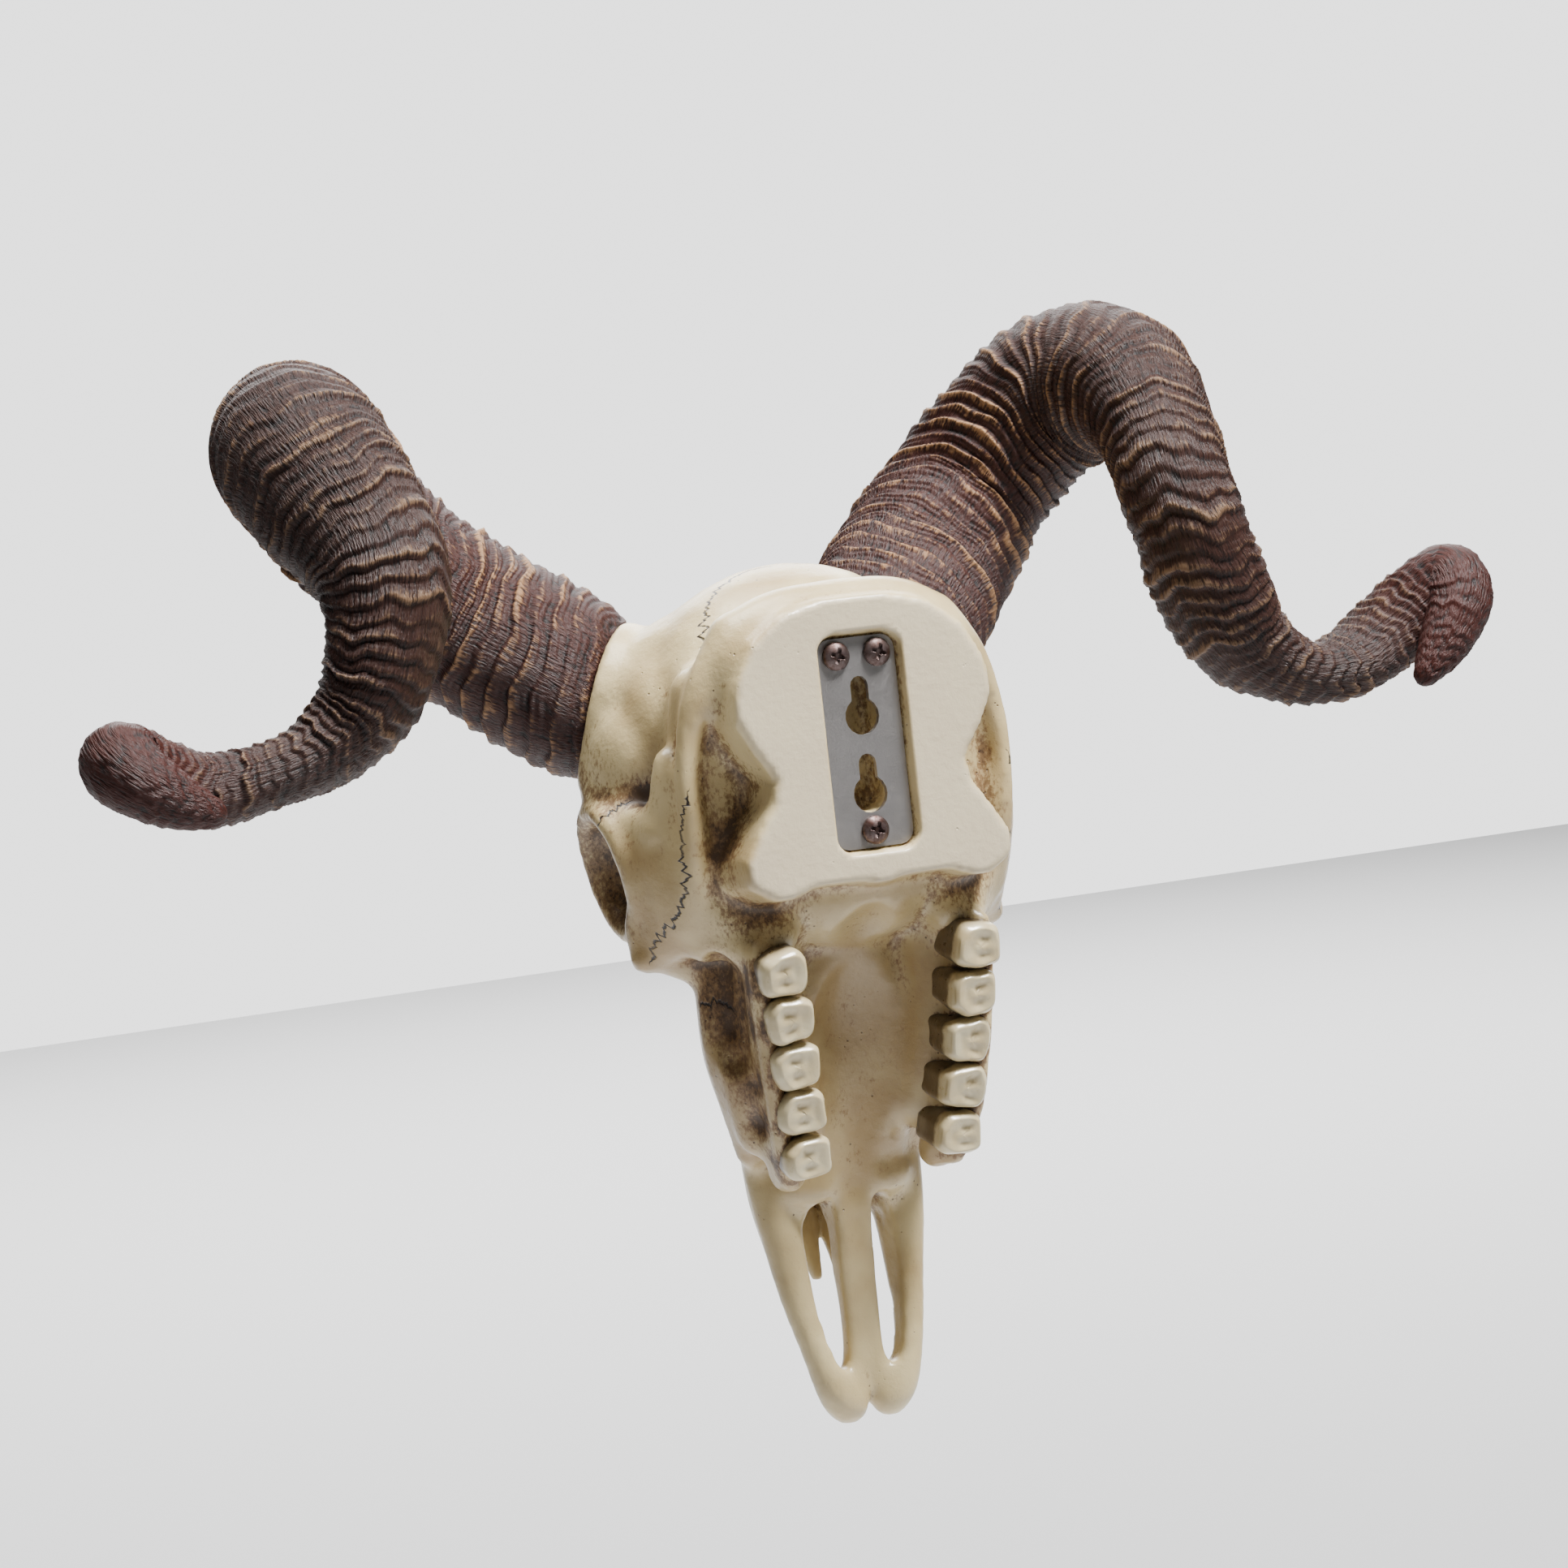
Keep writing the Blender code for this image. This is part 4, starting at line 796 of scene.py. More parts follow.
def crown(rng, size):
    """Rings of one crown, its biting face at y = 0 and its root at y = -height.

    A section is x = half width c^0.55, z = half length s^0.55, with the sign of the cosine c and
    sine s kept. Near the biting face the section shrinks as (1 - t^3)^(1/3), and the face is
    worn into two shallow crescents.
    """
    width, height, deep = size
    a = np.linspace(0, 2 * math.pi, 72, endpoint=False)[None, :]
    t = np.r_[np.linspace(0, 0.8, 14), np.linspace(0.84, 1, 10)][:, None]
    rows = np.r_[np.full(len(t), 0.0), np.linspace(0, 0.97, 14)][:, None]
    x = np.sign(np.cos(a)) * np.abs(np.cos(a))**0.62
    z = np.sign(np.sin(a)) * np.abs(np.sin(a))**0.62
    edge = 3.0
    side_y = np.r_[-height + (height - edge) * t[:14, 0] / 0.8, -edge + edge * ((t[14:, 0] - 0.8) / 0.2)]
    shrink = np.r_[np.ones(14), 1 - 0.22 * ((t[14:, 0] - 0.8) / 0.2)**2.2]
    inward = np.linspace(1, 0.03, 16)[1:] * shrink[-1]
    share = np.r_[shrink, inward][:, None]
    y = np.r_[side_y, np.zeros(15)][:, None] + 0 * a
    taper = 1 - 0.10 * np.clip(-y / height - 0.3, 0, 1)
    px = share * x * width / 2 * taper
    pz = share * z * deep / 2 * taper
    worn = np.clip(1 - share, 0, 1)
    tilt = rng.uniform(-0.06, 0.06, 2)
    hollow = (1.3 * np.exp(-((px - 1.2)**2 / 5.0 + (pz - 2.1)**2 / 3.2))
              + 1.1 * np.exp(-((px - 1.0)**2 / 5.5 + (pz + 2.5)**2 / 3.0))
              + 0.5 * np.exp(-((px + 2.6)**2 / 2.0 + (pz - 0.2)**2 / 9.0)))
    y = y - np.clip(worn / 0.25, 0, 1) * hollow + (tilt[0] * px + tilt[1] * pz) * np.clip(1 + y / 6, 0, 1)
    groove = 0.35 * np.exp(-(wrapped(a - math.pi) / 0.22)**2) * (share > 0.9)
    lumps = (0.2 * np.sin(px * 0.9 + rng.uniform(0, 6)) * np.sin(y * 0.5 + rng.uniform(0, 6))
             + 0.22 * np.sin(3 * a + rng.uniform(0, 6)) + 0.14 * np.sin(5 * a + rng.uniform(0, 6)))
    px = px + groove + lumps * x
    pz = pz + lumps * z
    return np.stack([px, y, pz], axis=-1)


def teeth_mesh(side, name, settings):
    """One row of worn crowns."""
    rng = np.random.default_rng(SEED + 20 + side)
    row = Clay()
    depth = []
    lean = math.radians(180) + math.atan2(TOOTH_LAST[1] - TOOTH_FIRST[1], TOOTH_LAST[2] - TOOTH_FIRST[2])
    turn_x = np.array(Matrix.Rotation(-lean, 3, "X"))
    for k, place in enumerate(tooth_places()):
        size = (settings.width / MM, settings.height / MM,
                settings.depth / MM * (1 - 0.015 * k))
        twist = np.array(Matrix.Rotation(math.radians(rng.uniform(2, 6)), 3, "Y"))
        rings = crown(rng, size)
        below = -rings[..., 1]
        depth.append(np.r_[below.ravel(), below[0].mean(), below[-1].mean()])
        row.add((rings @ (turn_x @ twist).T + place) * (side, 1.0, 1.0))
    mesh = row.mesh(name)
    set_attribute(mesh, "depth", np.concatenate(depth))
    return mesh


# Hanger


def screw_rings(x, z, settings):
    """Rings of a domed screw head with a cross recess, facing +Y, at x, z on the plate.

    Height = rim + dome (1 - (r/R)^2), less the recess: along each arm the depth falls from the
    full depth at the middle to nothing at the arm's end, with steep walls.
    """
    radius = settings.head_radius / MM
    a = np.linspace(0, 2 * math.pi, 96, endpoint=False)[None, :]
    r = np.linspace(1, 0.01, 44)[:, None] * radius
    px = r * np.cos(a)
    pz = r * np.sin(a)
    dome = 0.7 + 1.7 * (1 - (r / radius)**2)**0.75
    spin = settings.cross_turn
    u = px * math.cos(spin) + pz * math.sin(spin)
    v = pz * math.cos(spin) - px * math.sin(spin)
    arms = []
    for along, across in ((u, v), (v, u)):
        wall = 1 - np.clip((np.abs(across) - 0.42) / 0.14, 0, 1)
        reach = np.clip((2.3 - np.abs(along)) / 0.9, 0, 1)
        arms.append(wall * reach)
    middle = np.clip((1.15 - np.hypot(u, v)) / 0.3, 0, 1)
    recess = np.maximum(np.maximum(*arms), middle) * 1.15
    top = np.stack([px + x, SCREW_SEAT + dome - recess, pz + z], axis=-1)
    edge = np.stack([radius * np.cos(a) + x, SCREW_SEAT + 0 * a, radius * np.sin(a) + z], axis=-1)
    under = edge * 1.0
    under[..., 0] = (under[..., 0] - x) * 0.02 + x
    under[..., 2] = (under[..., 2] - z) * 0.02 + z
    return np.concatenate([under, edge, top])


# Materials


def bone_resin(settings):
    """Glossy painted resin: ivory, warmer in patches, with a brown wash speckled into its hollows, and darker, yellower
    paint as painted shade on the cheek and the palate.

    Hairline sutures are drawn as thin dark zigzags, and the flat back is greyer and scratched.
    """
    finish, put, shader, place = new_material("painted resin bone")
    wash = put("ShaderNodeAttribute", attribute_name="wash").outputs["Fac"]
    back = put("ShaderNodeAttribute", attribute_name="back").outputs["Fac"]
    broad = put("ShaderNodeTexNoise", {"Vector": place, "Scale": 1 / (26 * MM), "Detail": 3.0})
    patch = put("ShaderNodeMapRange", {"Value": broad, "From Min": 0.36, "From Max": 0.66})
    # Darker, yellower paint: in broad patches, and at the tan spots as painted shade on the cheek and over the palate's
    # tan paint
    tan = put("ShaderNodeAttribute", attribute_name="tan").outputs["Fac"]
    yellowed_and_shaded = put("ShaderNodeMath", {0: patch, 1: 0.7, 2: tan}, operation="MULTIPLY_ADD")
    warm_and_shade = put("ShaderNodeMix", {0: yellowed_and_shaded.outputs[0], 6: settings.light, 7: settings.warm_and_shade}, data_type="RGBA")
    # The wash lies where the hollows are, broken up by streaks and fine speckle
    cloud = put("ShaderNodeTexNoise", {"Vector": place, "Scale": 1 / (5 * MM), "Detail": 6.0, "Roughness": 0.65})
    streaks = put("ShaderNodeMapping", {"Vector": place, "Scale": (1.0, 1.0, 0.65)})
    speckle = put("ShaderNodeTexNoise", {"Vector": streaks, "Scale": 1 / (1.1 * MM), "Detail": 4.0, "Roughness": 0.7})
    clouded = put("ShaderNodeMapRange", {"Value": cloud, "From Min": 0.36, "From Max": 0.64})
    speckled = put("ShaderNodeMapRange", {"Value": speckle, "From Min": 0.38, "From Max": 0.62})
    uneven = put("ShaderNodeMath", {0: clouded, 1: 0.8, 2: speckled}, operation="MULTIPLY_ADD")
    pooled = put("ShaderNodeMath", {0: uneven, 1: 0.55, 2: wash}, operation="MULTIPLY_ADD")
    veil = put("ShaderNodeMapRange", {"Value": pooled, "From Min": 0.8, "From Max": 1.4, "To Max": 0.85},
               interpolation_type="SMOOTHSTEP")
    veiled = put("ShaderNodeMix", {0: veil, 6: warm_and_shade.outputs[2], 7: settings.wash}, data_type="RGBA")
    dense = put("ShaderNodeMapRange", {"Value": pooled, "From Min": 1.3, "From Max": 1.9, "To Max": 0.85},
                interpolation_type="SMOOTHSTEP")
    deep = put("ShaderNodeMix", {0: dense, 6: veiled.outputs[2], 7: settings.deep_wash}, data_type="RGBA")
    # Small pits that hold dark paint
    cells = put("ShaderNodeTexVoronoi", {"Vector": place, "Scale": 1 / (2.4 * MM)})
    dot = put("ShaderNodeMapRange", {"Value": cells.outputs["Distance"], "From Min": 0.08, "From Max": 0.16,
                                     "To Min": 1.0, "To Max": 0.0})
    chance = put("ShaderNodeTexNoise", {"Vector": place, "Scale": 1 / (9 * MM), "Detail": 2.0})
    likely = put("ShaderNodeMath", {0: wash, 1: 0.14, 2: chance}, operation="MULTIPLY_ADD")
    chosen = put("ShaderNodeMapRange", {"Value": likely, "From Min": 0.58, "From Max": 0.64})
    pits = put("ShaderNodeMath", {0: dot, 1: chosen}, operation="MULTIPLY")
    pitted = put("ShaderNodeMath", {0: pits, 1: 0.75}, operation="MULTIPLY")
    spotted = put("ShaderNodeMix", {0: pitted, 6: deep.outputs[2], 7: settings.deep_wash}, data_type="RGBA")
    # Sutures: the distance to the drawn line, thrown to and fro along it
    along = put("ShaderNodeAttribute", attribute_name="suture_along").outputs["Fac"]
    signed = put("ShaderNodeAttribute", attribute_name="suture").outputs["Fac"]
    reach = put("ShaderNodeAttribute", attribute_name="suture_reach").outputs["Fac"]
    zigzag = put("ShaderNodeTexNoise", {"W": along, "Scale": 0.42, "Detail": 2.0, "Roughness": 0.5},
                 noise_dimensions="1D")
    sway = put("ShaderNodeMath", {0: zigzag, 1: 0.5}, operation="SUBTRACT")
    moved = put("ShaderNodeMath", {0: sway, 1: 5.5, 2: signed}, operation="MULTIPLY_ADD")
    away = put("ShaderNodeMath", {0: moved}, operation="ABSOLUTE")
    line = put("ShaderNodeMapRange", {"Value": away, "From Min": 0.25, "From Max": 0.7, "To Min": 1.0, "To Max": 0.0})
    close = put("ShaderNodeMapRange", {"Value": reach, "From Min": 2.6, "From Max": 3.4, "To Min": 1.0, "To Max": 0.0})
    inked = put("ShaderNodeMath", {0: line, 1: close}, operation="MULTIPLY")
    fades = put("ShaderNodeMapRange", {"Value": cloud, "From Min": 0.3, "From Max": 0.5, "To Min": 0.6})
    suture = put("ShaderNodeMath", {0: inked, 1: fades}, operation="MULTIPLY")
    drawn = put("ShaderNodeMix", {0: suture, 6: spotted.outputs[2], 7: colour("1C120C")}, data_type="RGBA")
    # The flat back: greyer, with long thin scratches
    turned = put("ShaderNodeMapping", {"Vector": place, "Rotation": (0.0, 0.5, 0.0), "Scale": (1.0, 1.0, 0.04)})
    scratch = put("ShaderNodeTexNoise", {"Vector": turned, "Scale": 1 / (0.5 * MM), "Detail": 2.0})
    marks = put("ShaderNodeMapRange", {"Value": scratch, "From Min": 0.66, "From Max": 0.74, "To Max": 0.35})
    dull = put("ShaderNodeMix", {0: marks, 6: settings.back, 7: colour("B9AD97")}, data_type="RGBA")
    slab = put("ShaderNodeMath", {0: back, 1: 0.8}, operation="MULTIPLY")
    final = put("ShaderNodeMix", {0: slab, 6: drawn.outputs[2], 7: dull.outputs[2]}, data_type="RGBA")
    tree_links = finish.node_tree.links
    tree_links.new(final.outputs[2], shader.inputs["Base Color"])
    gloss = put("ShaderNodeMapRange", {"Value": pooled, "From Min": 0.6, "From Max": 1.6, "To Min": 0.3, "To Max": 0.6})
    matt = put("ShaderNodeMath", {0: back, 1: 0.16, 2: gloss}, operation="MULTIPLY_ADD")
    tree_links.new(matt.outputs[0], shader.inputs["Roughness"])
    # Brush marks and pores
    fine = put("ShaderNodeTexNoise", {"Vector": place, "Scale": 1 / (2.4 * MM), "Detail": 5.0, "Roughness": 0.6})
    cut_in = put("ShaderNodeMath", {0: suture, 1: -1.2, 2: fine}, operation="MULTIPLY_ADD")
    dimpled = put("ShaderNodeMath", {0: pits, 1: -0.8, 2: cut_in}, operation="MULTIPLY_ADD")
    grainy = put("ShaderNodeBump", {"Height": dimpled, "Strength": 1.0, "Distance": 0.22 * MM})
    tree_links.new(grainy.outputs[0], shader.inputs["Normal"])
    shader.inputs["Coat Weight"].default_value = 0.25
    shader.inputs["Coat Roughness"].default_value = 0.22
    return finish


def tooth_resin(settings):
    """Glossy painted resin crowns: ivory, yellower towards the gum, with brown paint in the pits."""
    finish, put, shader, place = new_material("painted resin teeth")
    broad = put("ShaderNodeTexNoise", {"Vector": place, "Scale": 1 / (7 * MM), "Detail": 3.0})
    tone = put("ShaderNodeMix", {0: broad.outputs[0], 6: settings.crown, 7: settings.stain}, data_type="RGBA")
    points = put("ShaderNodeNewGeometry").outputs["Pointiness"]
    dent = put("ShaderNodeMapRange", {"Value": points, "From Min": 0.42, "From Max": 0.5, "To Min": 0.8, "To Max": 0.0})
    cloud = put("ShaderNodeTexNoise", {"Vector": place, "Scale": 1 / (2 * MM), "Detail": 4.0})
    held = put("ShaderNodeMath", {0: dent, 1: cloud}, operation="MULTIPLY")
    dented = put("ShaderNodeMix", {0: held, 6: tone.outputs[2], 7: colour("6A4C2C")}, data_type="RGBA")
    below = put("ShaderNodeAttribute", attribute_name="depth").outputs["Fac"]
    wavy = put("ShaderNodeMath", {0: cloud, 1: 2.5, 2: below}, operation="MULTIPLY_ADD")
    gum = put("ShaderNodeMapRange", {"Value": wavy, "From Min": 4.8, "From Max": 6.6, "To Max": 0.9})
    final = put("ShaderNodeMix", {0: gum, 6: dented.outputs[2], 7: colour("3E2A17")}, data_type="RGBA")
    links = finish.node_tree.links
    links.new(final.outputs[2], shader.inputs["Base Color"])
    gloss = put("ShaderNodeMapRange", {"Value": cloud, "To Min": 0.2, "To Max": 0.42})
    links.new(gloss.outputs[0], shader.inputs["Roughness"])
    rough = put("ShaderNodeBump", {"Height": cloud, "Strength": 1.0, "Distance": 0.12 * MM})
    links.new(rough.outputs[0], shader.inputs["Normal"])
    shader.inputs["Coat Weight"].default_value = 0.4
    shader.inputs["Coat Roughness"].default_value = 0.15
    return finish


def horn_resin(settings):
    """Painted resin horn: tan crests over purple brown, near black grooves, a red brown tip.

    The grain runs along the horn, and is drawn in its own unrolled coordinates.
    """
    finish, put, shader, place = new_material("painted resin horn")
    crest = put("ShaderNodeAttribute", attribute_name="crest").outputs["Fac"]
    along = put("ShaderNodeAttribute", attribute_name="along").outputs["Fac"]
    grain = put("ShaderNodeAttribute", attribute_name="grain").outputs["Vector"]
    drawn_out = put("ShaderNodeMapping", {"Vector": grain, "Scale": (1.0, 1.0, 0.16)})
    fibre = put("ShaderNodeTexNoise", {"Vector": drawn_out, "Scale": 1 / (0.8 * MM), "Detail": 3.0, "Roughness": 0.6})
    cloud = put("ShaderNodeTexNoise", {"Vector": grain, "Scale": 1 / (9 * MM), "Detail": 4.0, "Roughness": 0.6})
    body = put("ShaderNodeValToRGB", {"Fac": along})
    ramp = body.color_ramp
    ramp.elements[0].color = settings.base
    ramp.elements[1].color = settings.tip
    for share, tone in ((0.22, settings.base), (0.38, settings.middle), (0.78, settings.middle), (0.88, settings.tip)):
        ramp.elements.new(share).color = tone
    light = put("ShaderNodeValToRGB", {"Fac": along})
    ramp = light.color_ramp
    ramp.elements[0].color = settings.crest
    ramp.elements[1].color = settings.tip
    for share, tone in ((0.3, settings.crest), (0.5, settings.worn), (0.8, settings.worn), (0.9, settings.tip)):
        ramp.elements.new(share).color = tone
    combed_out = put("ShaderNodeMapRange", {"Value": fibre, "From Min": 0.38, "From Max": 0.6})
    uneven = put("ShaderNodeMath", {0: cloud, 1: 1.3, 2: crest}, operation="MULTIPLY_ADD")
    lifted = put("ShaderNodeMath", {0: combed_out, 1: 0.4, 2: uneven}, operation="MULTIPLY_ADD")
    worn = put("ShaderNodeMapRange", {"Value": lifted, "From Min": 1.35, "From Max": 1.9}, interpolation_type="SMOOTHSTEP")
    painted = put("ShaderNodeMix", {0: worn, 6: body, 7: light}, data_type="RGBA")
    low = put("ShaderNodeMapRange", {"Value": lifted, "From Min": 0.7, "From Max": 1.15, "To Min": 0.95, "To Max": 0.0},
              interpolation_type="SMOOTHSTEP")
    lined = put("ShaderNodeMapRange", {"Value": fibre, "From Min": 0.36, "From Max": 0.48, "To Min": 0.55, "To Max": 0.0})
    shaded = put("ShaderNodeMath", {0: low, 1: lined}, operation="MAXIMUM")
    final = put("ShaderNodeMix", {0: shaded, 6: painted.outputs[2], 7: settings.groove}, data_type="RGBA")
    links = finish.node_tree.links
    links.new(final.outputs[2], shader.inputs["Base Color"])
    gloss = put("ShaderNodeMapRange", {"Value": fibre, "To Min": 0.38, "To Max": 0.62})
    links.new(gloss.outputs[0], shader.inputs["Roughness"])
    combed = put("ShaderNodeBump", {"Height": fibre, "Strength": 1.0, "Distance": 1.1 * MM})
    links.new(combed.outputs[0], shader.inputs["Normal"])
    shader.inputs["Specular IOR Level"].default_value = 0.22
    return finish


def satin_aluminium(settings):
    """Satin stamped aluminium with a fine speckle and a few rub marks."""
    finish, put, shader, place = new_material("satin aluminium")
    grit = put("ShaderNodeTexNoise", {"Vector": place, "Scale": 1 / (0.5 * MM), "Detail": 3.0})
    rub = put("ShaderNodeTexNoise", {"Vector": place, "Scale": 1 / (8 * MM), "Detail": 3.0})
    tone = put("ShaderNodeMix", {0: rub.outputs[0], 6: settings.plate, 7: colour("B4B0AE")}, data_type="RGBA")
    links = finish.node_tree.links
    links.new(tone.outputs[2], shader.inputs["Base Color"])
    gloss = put("ShaderNodeMapRange", {"Value": grit, "To Min": 0.3, "To Max": 0.5})
    links.new(gloss.outputs[0], shader.inputs["Roughness"])
    speck = put("ShaderNodeBump", {"Height": grit, "Strength": 1.0, "Distance": 0.03 * MM})
    links.new(speck.outputs[0], shader.inputs["Normal"])
    shader.inputs["Metallic"].default_value = 1.0
    return finish


def tarnished_steel(settings):
    """Plated steel gone brown and violet in patches, with rust in the patches."""
    finish, put, shader, place = new_material("tarnished steel")
    patch = put("ShaderNodeTexNoise", {"Vector": place, "Scale": 1 / (2.2 * MM), "Detail": 5.0, "Roughness": 0.65})
    share = put("ShaderNodeMapRange", {"Value": patch, "From Min": 0.35, "From Max": 0.65})
    tone = put("ShaderNodeMix", {0: share, 6: settings.screw, 7: settings.rust}, data_type="RGBA")
    links = finish.node_tree.links
    links.new(tone.outputs[2], shader.inputs["Base Color"])
    gloss = put("ShaderNodeMapRange", {"Value": patch, "To Min": 0.28, "To Max": 0.6})
    links.new(gloss.outputs[0], shader.inputs["Roughness"])
    pitted = put("ShaderNodeBump", {"Height": patch, "Strength": 1.0, "Distance": 0.06 * MM})
    links.new(pitted.outputs[0], shader.inputs["Normal"])
    shader.inputs["Metallic"].default_value = 0.85
    return finish


# Settings


class TrophySkull(PropertyGroup):
    """Sizes and colours of the skull."""

    voxel: length("Grid", "Size of the cubes that the skull is fused on", 1.3)
    light: picker("Light bone", "Ivory paint on the dome and the ridges", "C9B78A")
    # This colour paints the yellower patches, and also painted shade on the cheek and over the palate's tan paint
    warm_and_shade: picker("Warm bone", "Yellower paint in broad patches", "9A8157")
    wash: picker("Wash", "Brown wash over the hollows", "70502F")
    deep_wash: picker("Deep wash", "Wash where it has pooled", "382413")
    back: picker("Flat back", "Dull paint of the flat back", "C2B59C")


class TrophyTeeth(PropertyGroup):
    """Sizes and colours of the teeth."""

    width: length("Width", "Width of a crown across the jaw", 14.2)
    height: length("Height", "Height of a crown with its root", 16.0)
    depth: length("Length", "Length of a crown along the jaw", 12.9)
    crown: picker("Crown", "Paint on the crowns", "CBC1A0")
    stain: picker("Stain", "Yellower paint in patches", "A68F62")


class TrophyHorns(PropertyGroup):
    """Sizes and colours of the horns."""

    ring_depth: length("Ring depth", "Height of the growth rings halfway along", 1.55)
    base: picker("Base", "Purple brown between the rings of the base", "331914")
    crest: picker("Base rings", "Tan paint on the rings of the base", "856446")
    middle: picker("Middle", "Dark brown of the arch", "2C1812")
    worn: picker("Middle rings", "Tan paint on the rings of the arch", "634C39")
    tip: picker("Tip", "Red brown of the tip", "32110A")
    groove: picker("Grooves", "Near black below each ring", "0D0707")


class TrophyHanger(PropertyGroup):
    """Sizes and colours of the hanger."""

    head_radius: length("Screw head", "Radius of a screw head", 4.0)
    cross_turn: FloatProperty(name="Recess turn", description="Turn of the cross recesses", default=0.35,
                              subtype="ANGLE")
    plate: picker("Plate", "Satin aluminium", "CFCBC9")
    screw: picker("Screws", "Tarnished plating", "655856")
    rust: picker("Rust", "Brown patches on the screws", "3C2822")


class TrophyStage(PropertyGroup):
    """The floor and the light."""

    floor_height: length("Floor", "Height of the floor below the skull's back", -1000.0)
    floor: picker("Floor colour", "Plain pale floor", "F2F2F2")
    key: FloatProperty(name="Key light", description="Power of the key light in watts", default=115.0, min=0.0)
    surround: FloatProperty(name="Surround", description="Strength of the dim surround", default=0.03, min=0.0)
    backdrop: FloatProperty(name="Backdrop", description="Strength of the pale backdrop", default=2.4, min=0.0)


# Operators


def carry(piece, slot, *nodes):
    """Tie a piece to the object's only body and to the nodes that it stands for. The slot is not used."""
    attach(piece, "root")
    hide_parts(*nodes)


class TROPHY_OT_skull(Operator):
    """Build the skull in one piece, with its painted surface"""

    bl_idname = "trophy.skull"
    bl_label = "Build skull"

    def execute(self, context):
        settings = context.scene.trophy_skull
        mesh = skull_mesh(settings.voxel)
        finish_skull(mesh)
        skull = new_object("skull", mesh, bone_resin(settings))
        carry(skull, "bone_resin", *SKULL_NODES)
        return {"FINISHED"}


class TROPHY_OT_teeth(Operator):
    """Build the two rows of cheek teeth"""

    bl_idname = "trophy.teeth"
    bl_label = "Build teeth"

    def execute(self, context):
        settings = context.scene.trophy_teeth
        finish = tooth_resin(settings)
        for side, label in SIDES:
            teeth = new_object(f"teeth_{label}", teeth_mesh(side, f"teeth_{label}", settings), finish)
            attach(teeth, "root")
        return {"FINISHED"}


class TROPHY_OT_horns(Operator):
    """Build both horns with their growth rings"""

    bl_idname = "trophy.horns"
    bl_label = "Build horns"

    def execute(self, context):
        settings = context.scene.trophy_horns
        finish = horn_resin(settings)
        for side, label in SIDES:
            horn = horn_object(side, f"horn_{label}", settings, finish)
            carry(horn, "horn_resin", *(f"horn_{label}_{part}" for part in HORN_NODES))
        return {"FINISHED"}


class TROPHY_OT_hanger(Operator):
    """Finish the hanger plate and build its screw heads"""

    bl_idname = "trophy.hanger"
    bl_label = "Build hanger"

    def execute(self, context):
        settings = context.scene.trophy_hanger
        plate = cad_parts["hanger_plate"]
        plate.material_slots[0].material = satin_aluminium(settings)
        finish = tarnished_steel(settings)
        for name, (x, z) in zip(SCREW_NODES, SCREW_PLACES):
            head = Clay()
            head.add(screw_rings(x, PLATE_Z + z, settings))
            piece = new_object(name.replace("screw", "screw_head"), head.mesh(name), finish)
            carry(piece, "tarnished_steel", name)
        return {"FINISHED"}


class TROPHY_OT_stage(Operator):
    """Set out the floor, the soft lights and the camera"""

    bl_idname = "trophy.stage"
    bl_label = "Set the stage"

    def execute(self, context):
        settings = context.scene.trophy_stage
        finish, put, shader, place = new_material("pale floor")
        shader.inputs["Base Color"].default_value = settings.floor
        shader.inputs["Roughness"].default_value = 0.7
        sweep = 12000 * np.array([(-1, 1), (1, 1), (1, -1), (-1, -1)])
        height = settings.floor_height / MM
        points = np.column_stack([sweep, np.full(4, height)])
        floor = new_object("floor", new_mesh("floor", points, np.array([[3, 2, 1, 0]]), np.empty((0, 3), int)), finish)

        world = bpy.data.worlds.new("pale surround")
        world.use_nodes = True
        sky = world.node_tree.nodes["Background"]
        sky.inputs["Color"].default_value = (1.0, 1.0, 1.0, 1.0)
        tree = world.node_tree
        direction = add(tree, "ShaderNodeTexCoord").outputs["Generated"]
        ahead = add(tree, "ShaderNodeVectorMath", {0: direction, 1: (-0.42, -0.91, 0.0)}, operation="DOT_PRODUCT")
        pale = add(tree, "ShaderNodeMapRange", {"Value": ahead.outputs["Value"], "From Min": 0.85, "From Max": 0.97,
                                                "To Min": settings.surround, "To Max": settings.backdrop},
                   interpolation_type="SMOOTHSTEP")
        tree.links.new(pale.outputs[0], sky.inputs["Strength"])
        context.scene.world = world

        middle = Vector((0.0, -0.03, 0.02))
        beyond = Vector((-3.5, -7.5, -1.0))
        for name, spot, aim, size, power in (
                ("key light", (-0.5, 0.6, 1.4), middle, 0.5, settings.key),
                ("top light", (0.2, -0.2, 1.5), middle, 0.9, settings.key * 0.3),
                ("fill light", (1.3, 1.0, 0.3), middle, 1.0, settings.key * 0.008),
                ("floor light", (-3.5, -7.5, 4.0), beyond, 8.0, settings.key * 11)):
            lamp = bpy.data.lights.new(name, "AREA")
            lamp.size = size
            lamp.energy = power
            light = bpy.data.objects.new(name, lamp)
            light.location = spot
            light.rotation_euler = (aim - Vector(spot)).to_track_quat("-Z", "Y").to_euler()
            context.scene.collection.objects.link(light)

        context.scene.camera = photo_camera()
        return {"FINISHED"}


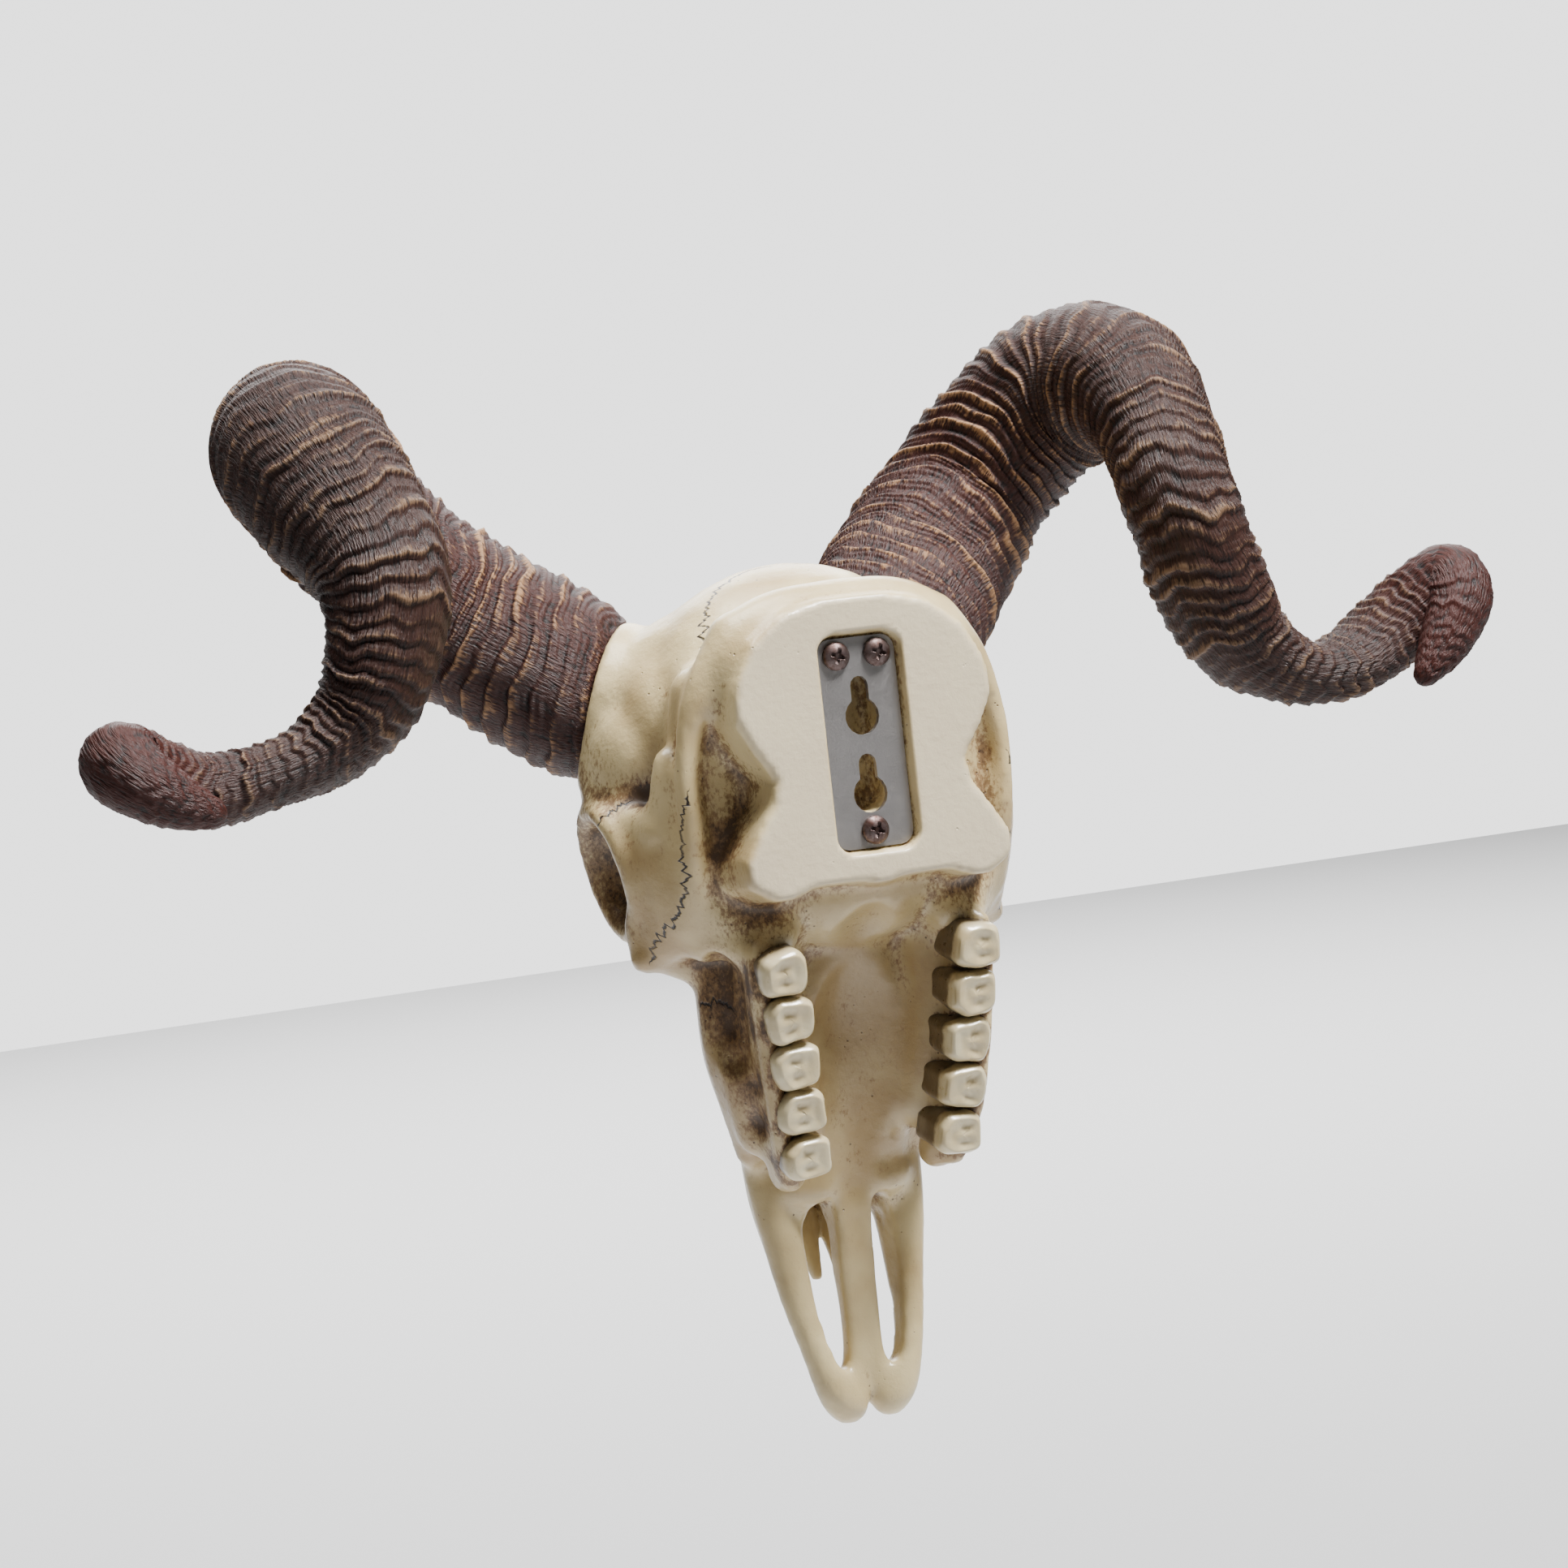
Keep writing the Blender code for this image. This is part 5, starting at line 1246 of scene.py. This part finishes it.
def photo_camera():
    """The camera as it stood: behind the wall plane, to the animal's left, rolled clockwise."""
    turn = math.radians(25.0)
    rise = math.radians(2.4)
    roll = math.radians(6.3)
    focal = 5800.0
    distance = 1296.0
    toward = Vector((math.sin(turn) * math.cos(rise), math.cos(turn) * math.cos(rise), math.sin(rise)))
    right = Vector((-math.cos(turn), math.sin(turn), 0.0))
    up = Vector((-math.sin(rise) * math.sin(turn), -math.sin(rise) * math.cos(turn), math.cos(rise)))
    shift_x = (AIM_COLUMN - IMAGE_WIDTH / 2) * distance / focal
    shift_y = (IMAGE_WIDTH / 2 - AIM_ROW) * distance / focal
    across = shift_x * math.cos(roll) + shift_y * math.sin(roll)
    over = shift_y * math.cos(roll) - shift_x * math.sin(roll)
    place = distance * toward - across * right - over * up + Vector((0.0, 0.0, PLATE_Z))
    view_right = right * math.cos(roll) - up * math.sin(roll)
    view_up = right * math.sin(roll) + up * math.cos(roll)
    lens = bpy.data.cameras.new("camera")
    lens.sensor_width = 36.0
    lens.lens = focal * lens.sensor_width / IMAGE_WIDTH
    lens.clip_end = 20.0
    camera = bpy.data.objects.new("camera", lens)
    stand = Matrix((view_right, view_up, toward)).transposed().to_4x4()
    camera.matrix_world = Matrix.Translation(place * MM) @ stand
    bpy.context.scene.collection.objects.link(camera)
    return camera


class TROPHY_PT_build(Panel):
    """The trophy's pieces, in the order in which they are built"""

    bl_label = "Ram skull trophy"
    bl_idname = "TROPHY_PT_build"
    bl_space_type = "VIEW_3D"
    bl_region_type = "UI"
    bl_category = "Trophy"

    def draw(self, context):
        for operator, group in zip(OPERATORS, GROUPS):
            box = self.layout.box()
            box.operator(operator.bl_idname)
            settings = getattr(context.scene, group)
            for key in settings.bl_rna.properties.keys():
                if key not in ("rna_type", "name"):
                    box.prop(settings, key)


OPERATORS = (TROPHY_OT_skull, TROPHY_OT_teeth, TROPHY_OT_horns, TROPHY_OT_hanger, TROPHY_OT_stage)
GROUPS = {
    "trophy_skull": TrophySkull,
    "trophy_teeth": TrophyTeeth,
    "trophy_horns": TrophyHorns,
    "trophy_hanger": TrophyHanger,
    "trophy_stage": TrophyStage,
}


def register():
    for group in GROUPS.values():
        bpy.utils.register_class(group)
    for name, group in GROUPS.items():
        setattr(bpy.types.Scene, name, PointerProperty(type=group))
    for item in (*OPERATORS, TROPHY_PT_build):
        bpy.utils.register_class(item)


def unregister():
    for item in (TROPHY_PT_build, *reversed(OPERATORS)):
        bpy.utils.unregister_class(item)
    for name, group in GROUPS.items():
        delattr(bpy.types.Scene, name)
        bpy.utils.unregister_class(group)


def main():
    """Build everything in order."""
    register()
    bpy.ops.trophy.skull()
    bpy.ops.trophy.teeth()
    bpy.ops.trophy.horns()
    bpy.ops.trophy.hanger()
    bpy.ops.trophy.stage()


if __name__ == "__main__":
    main()
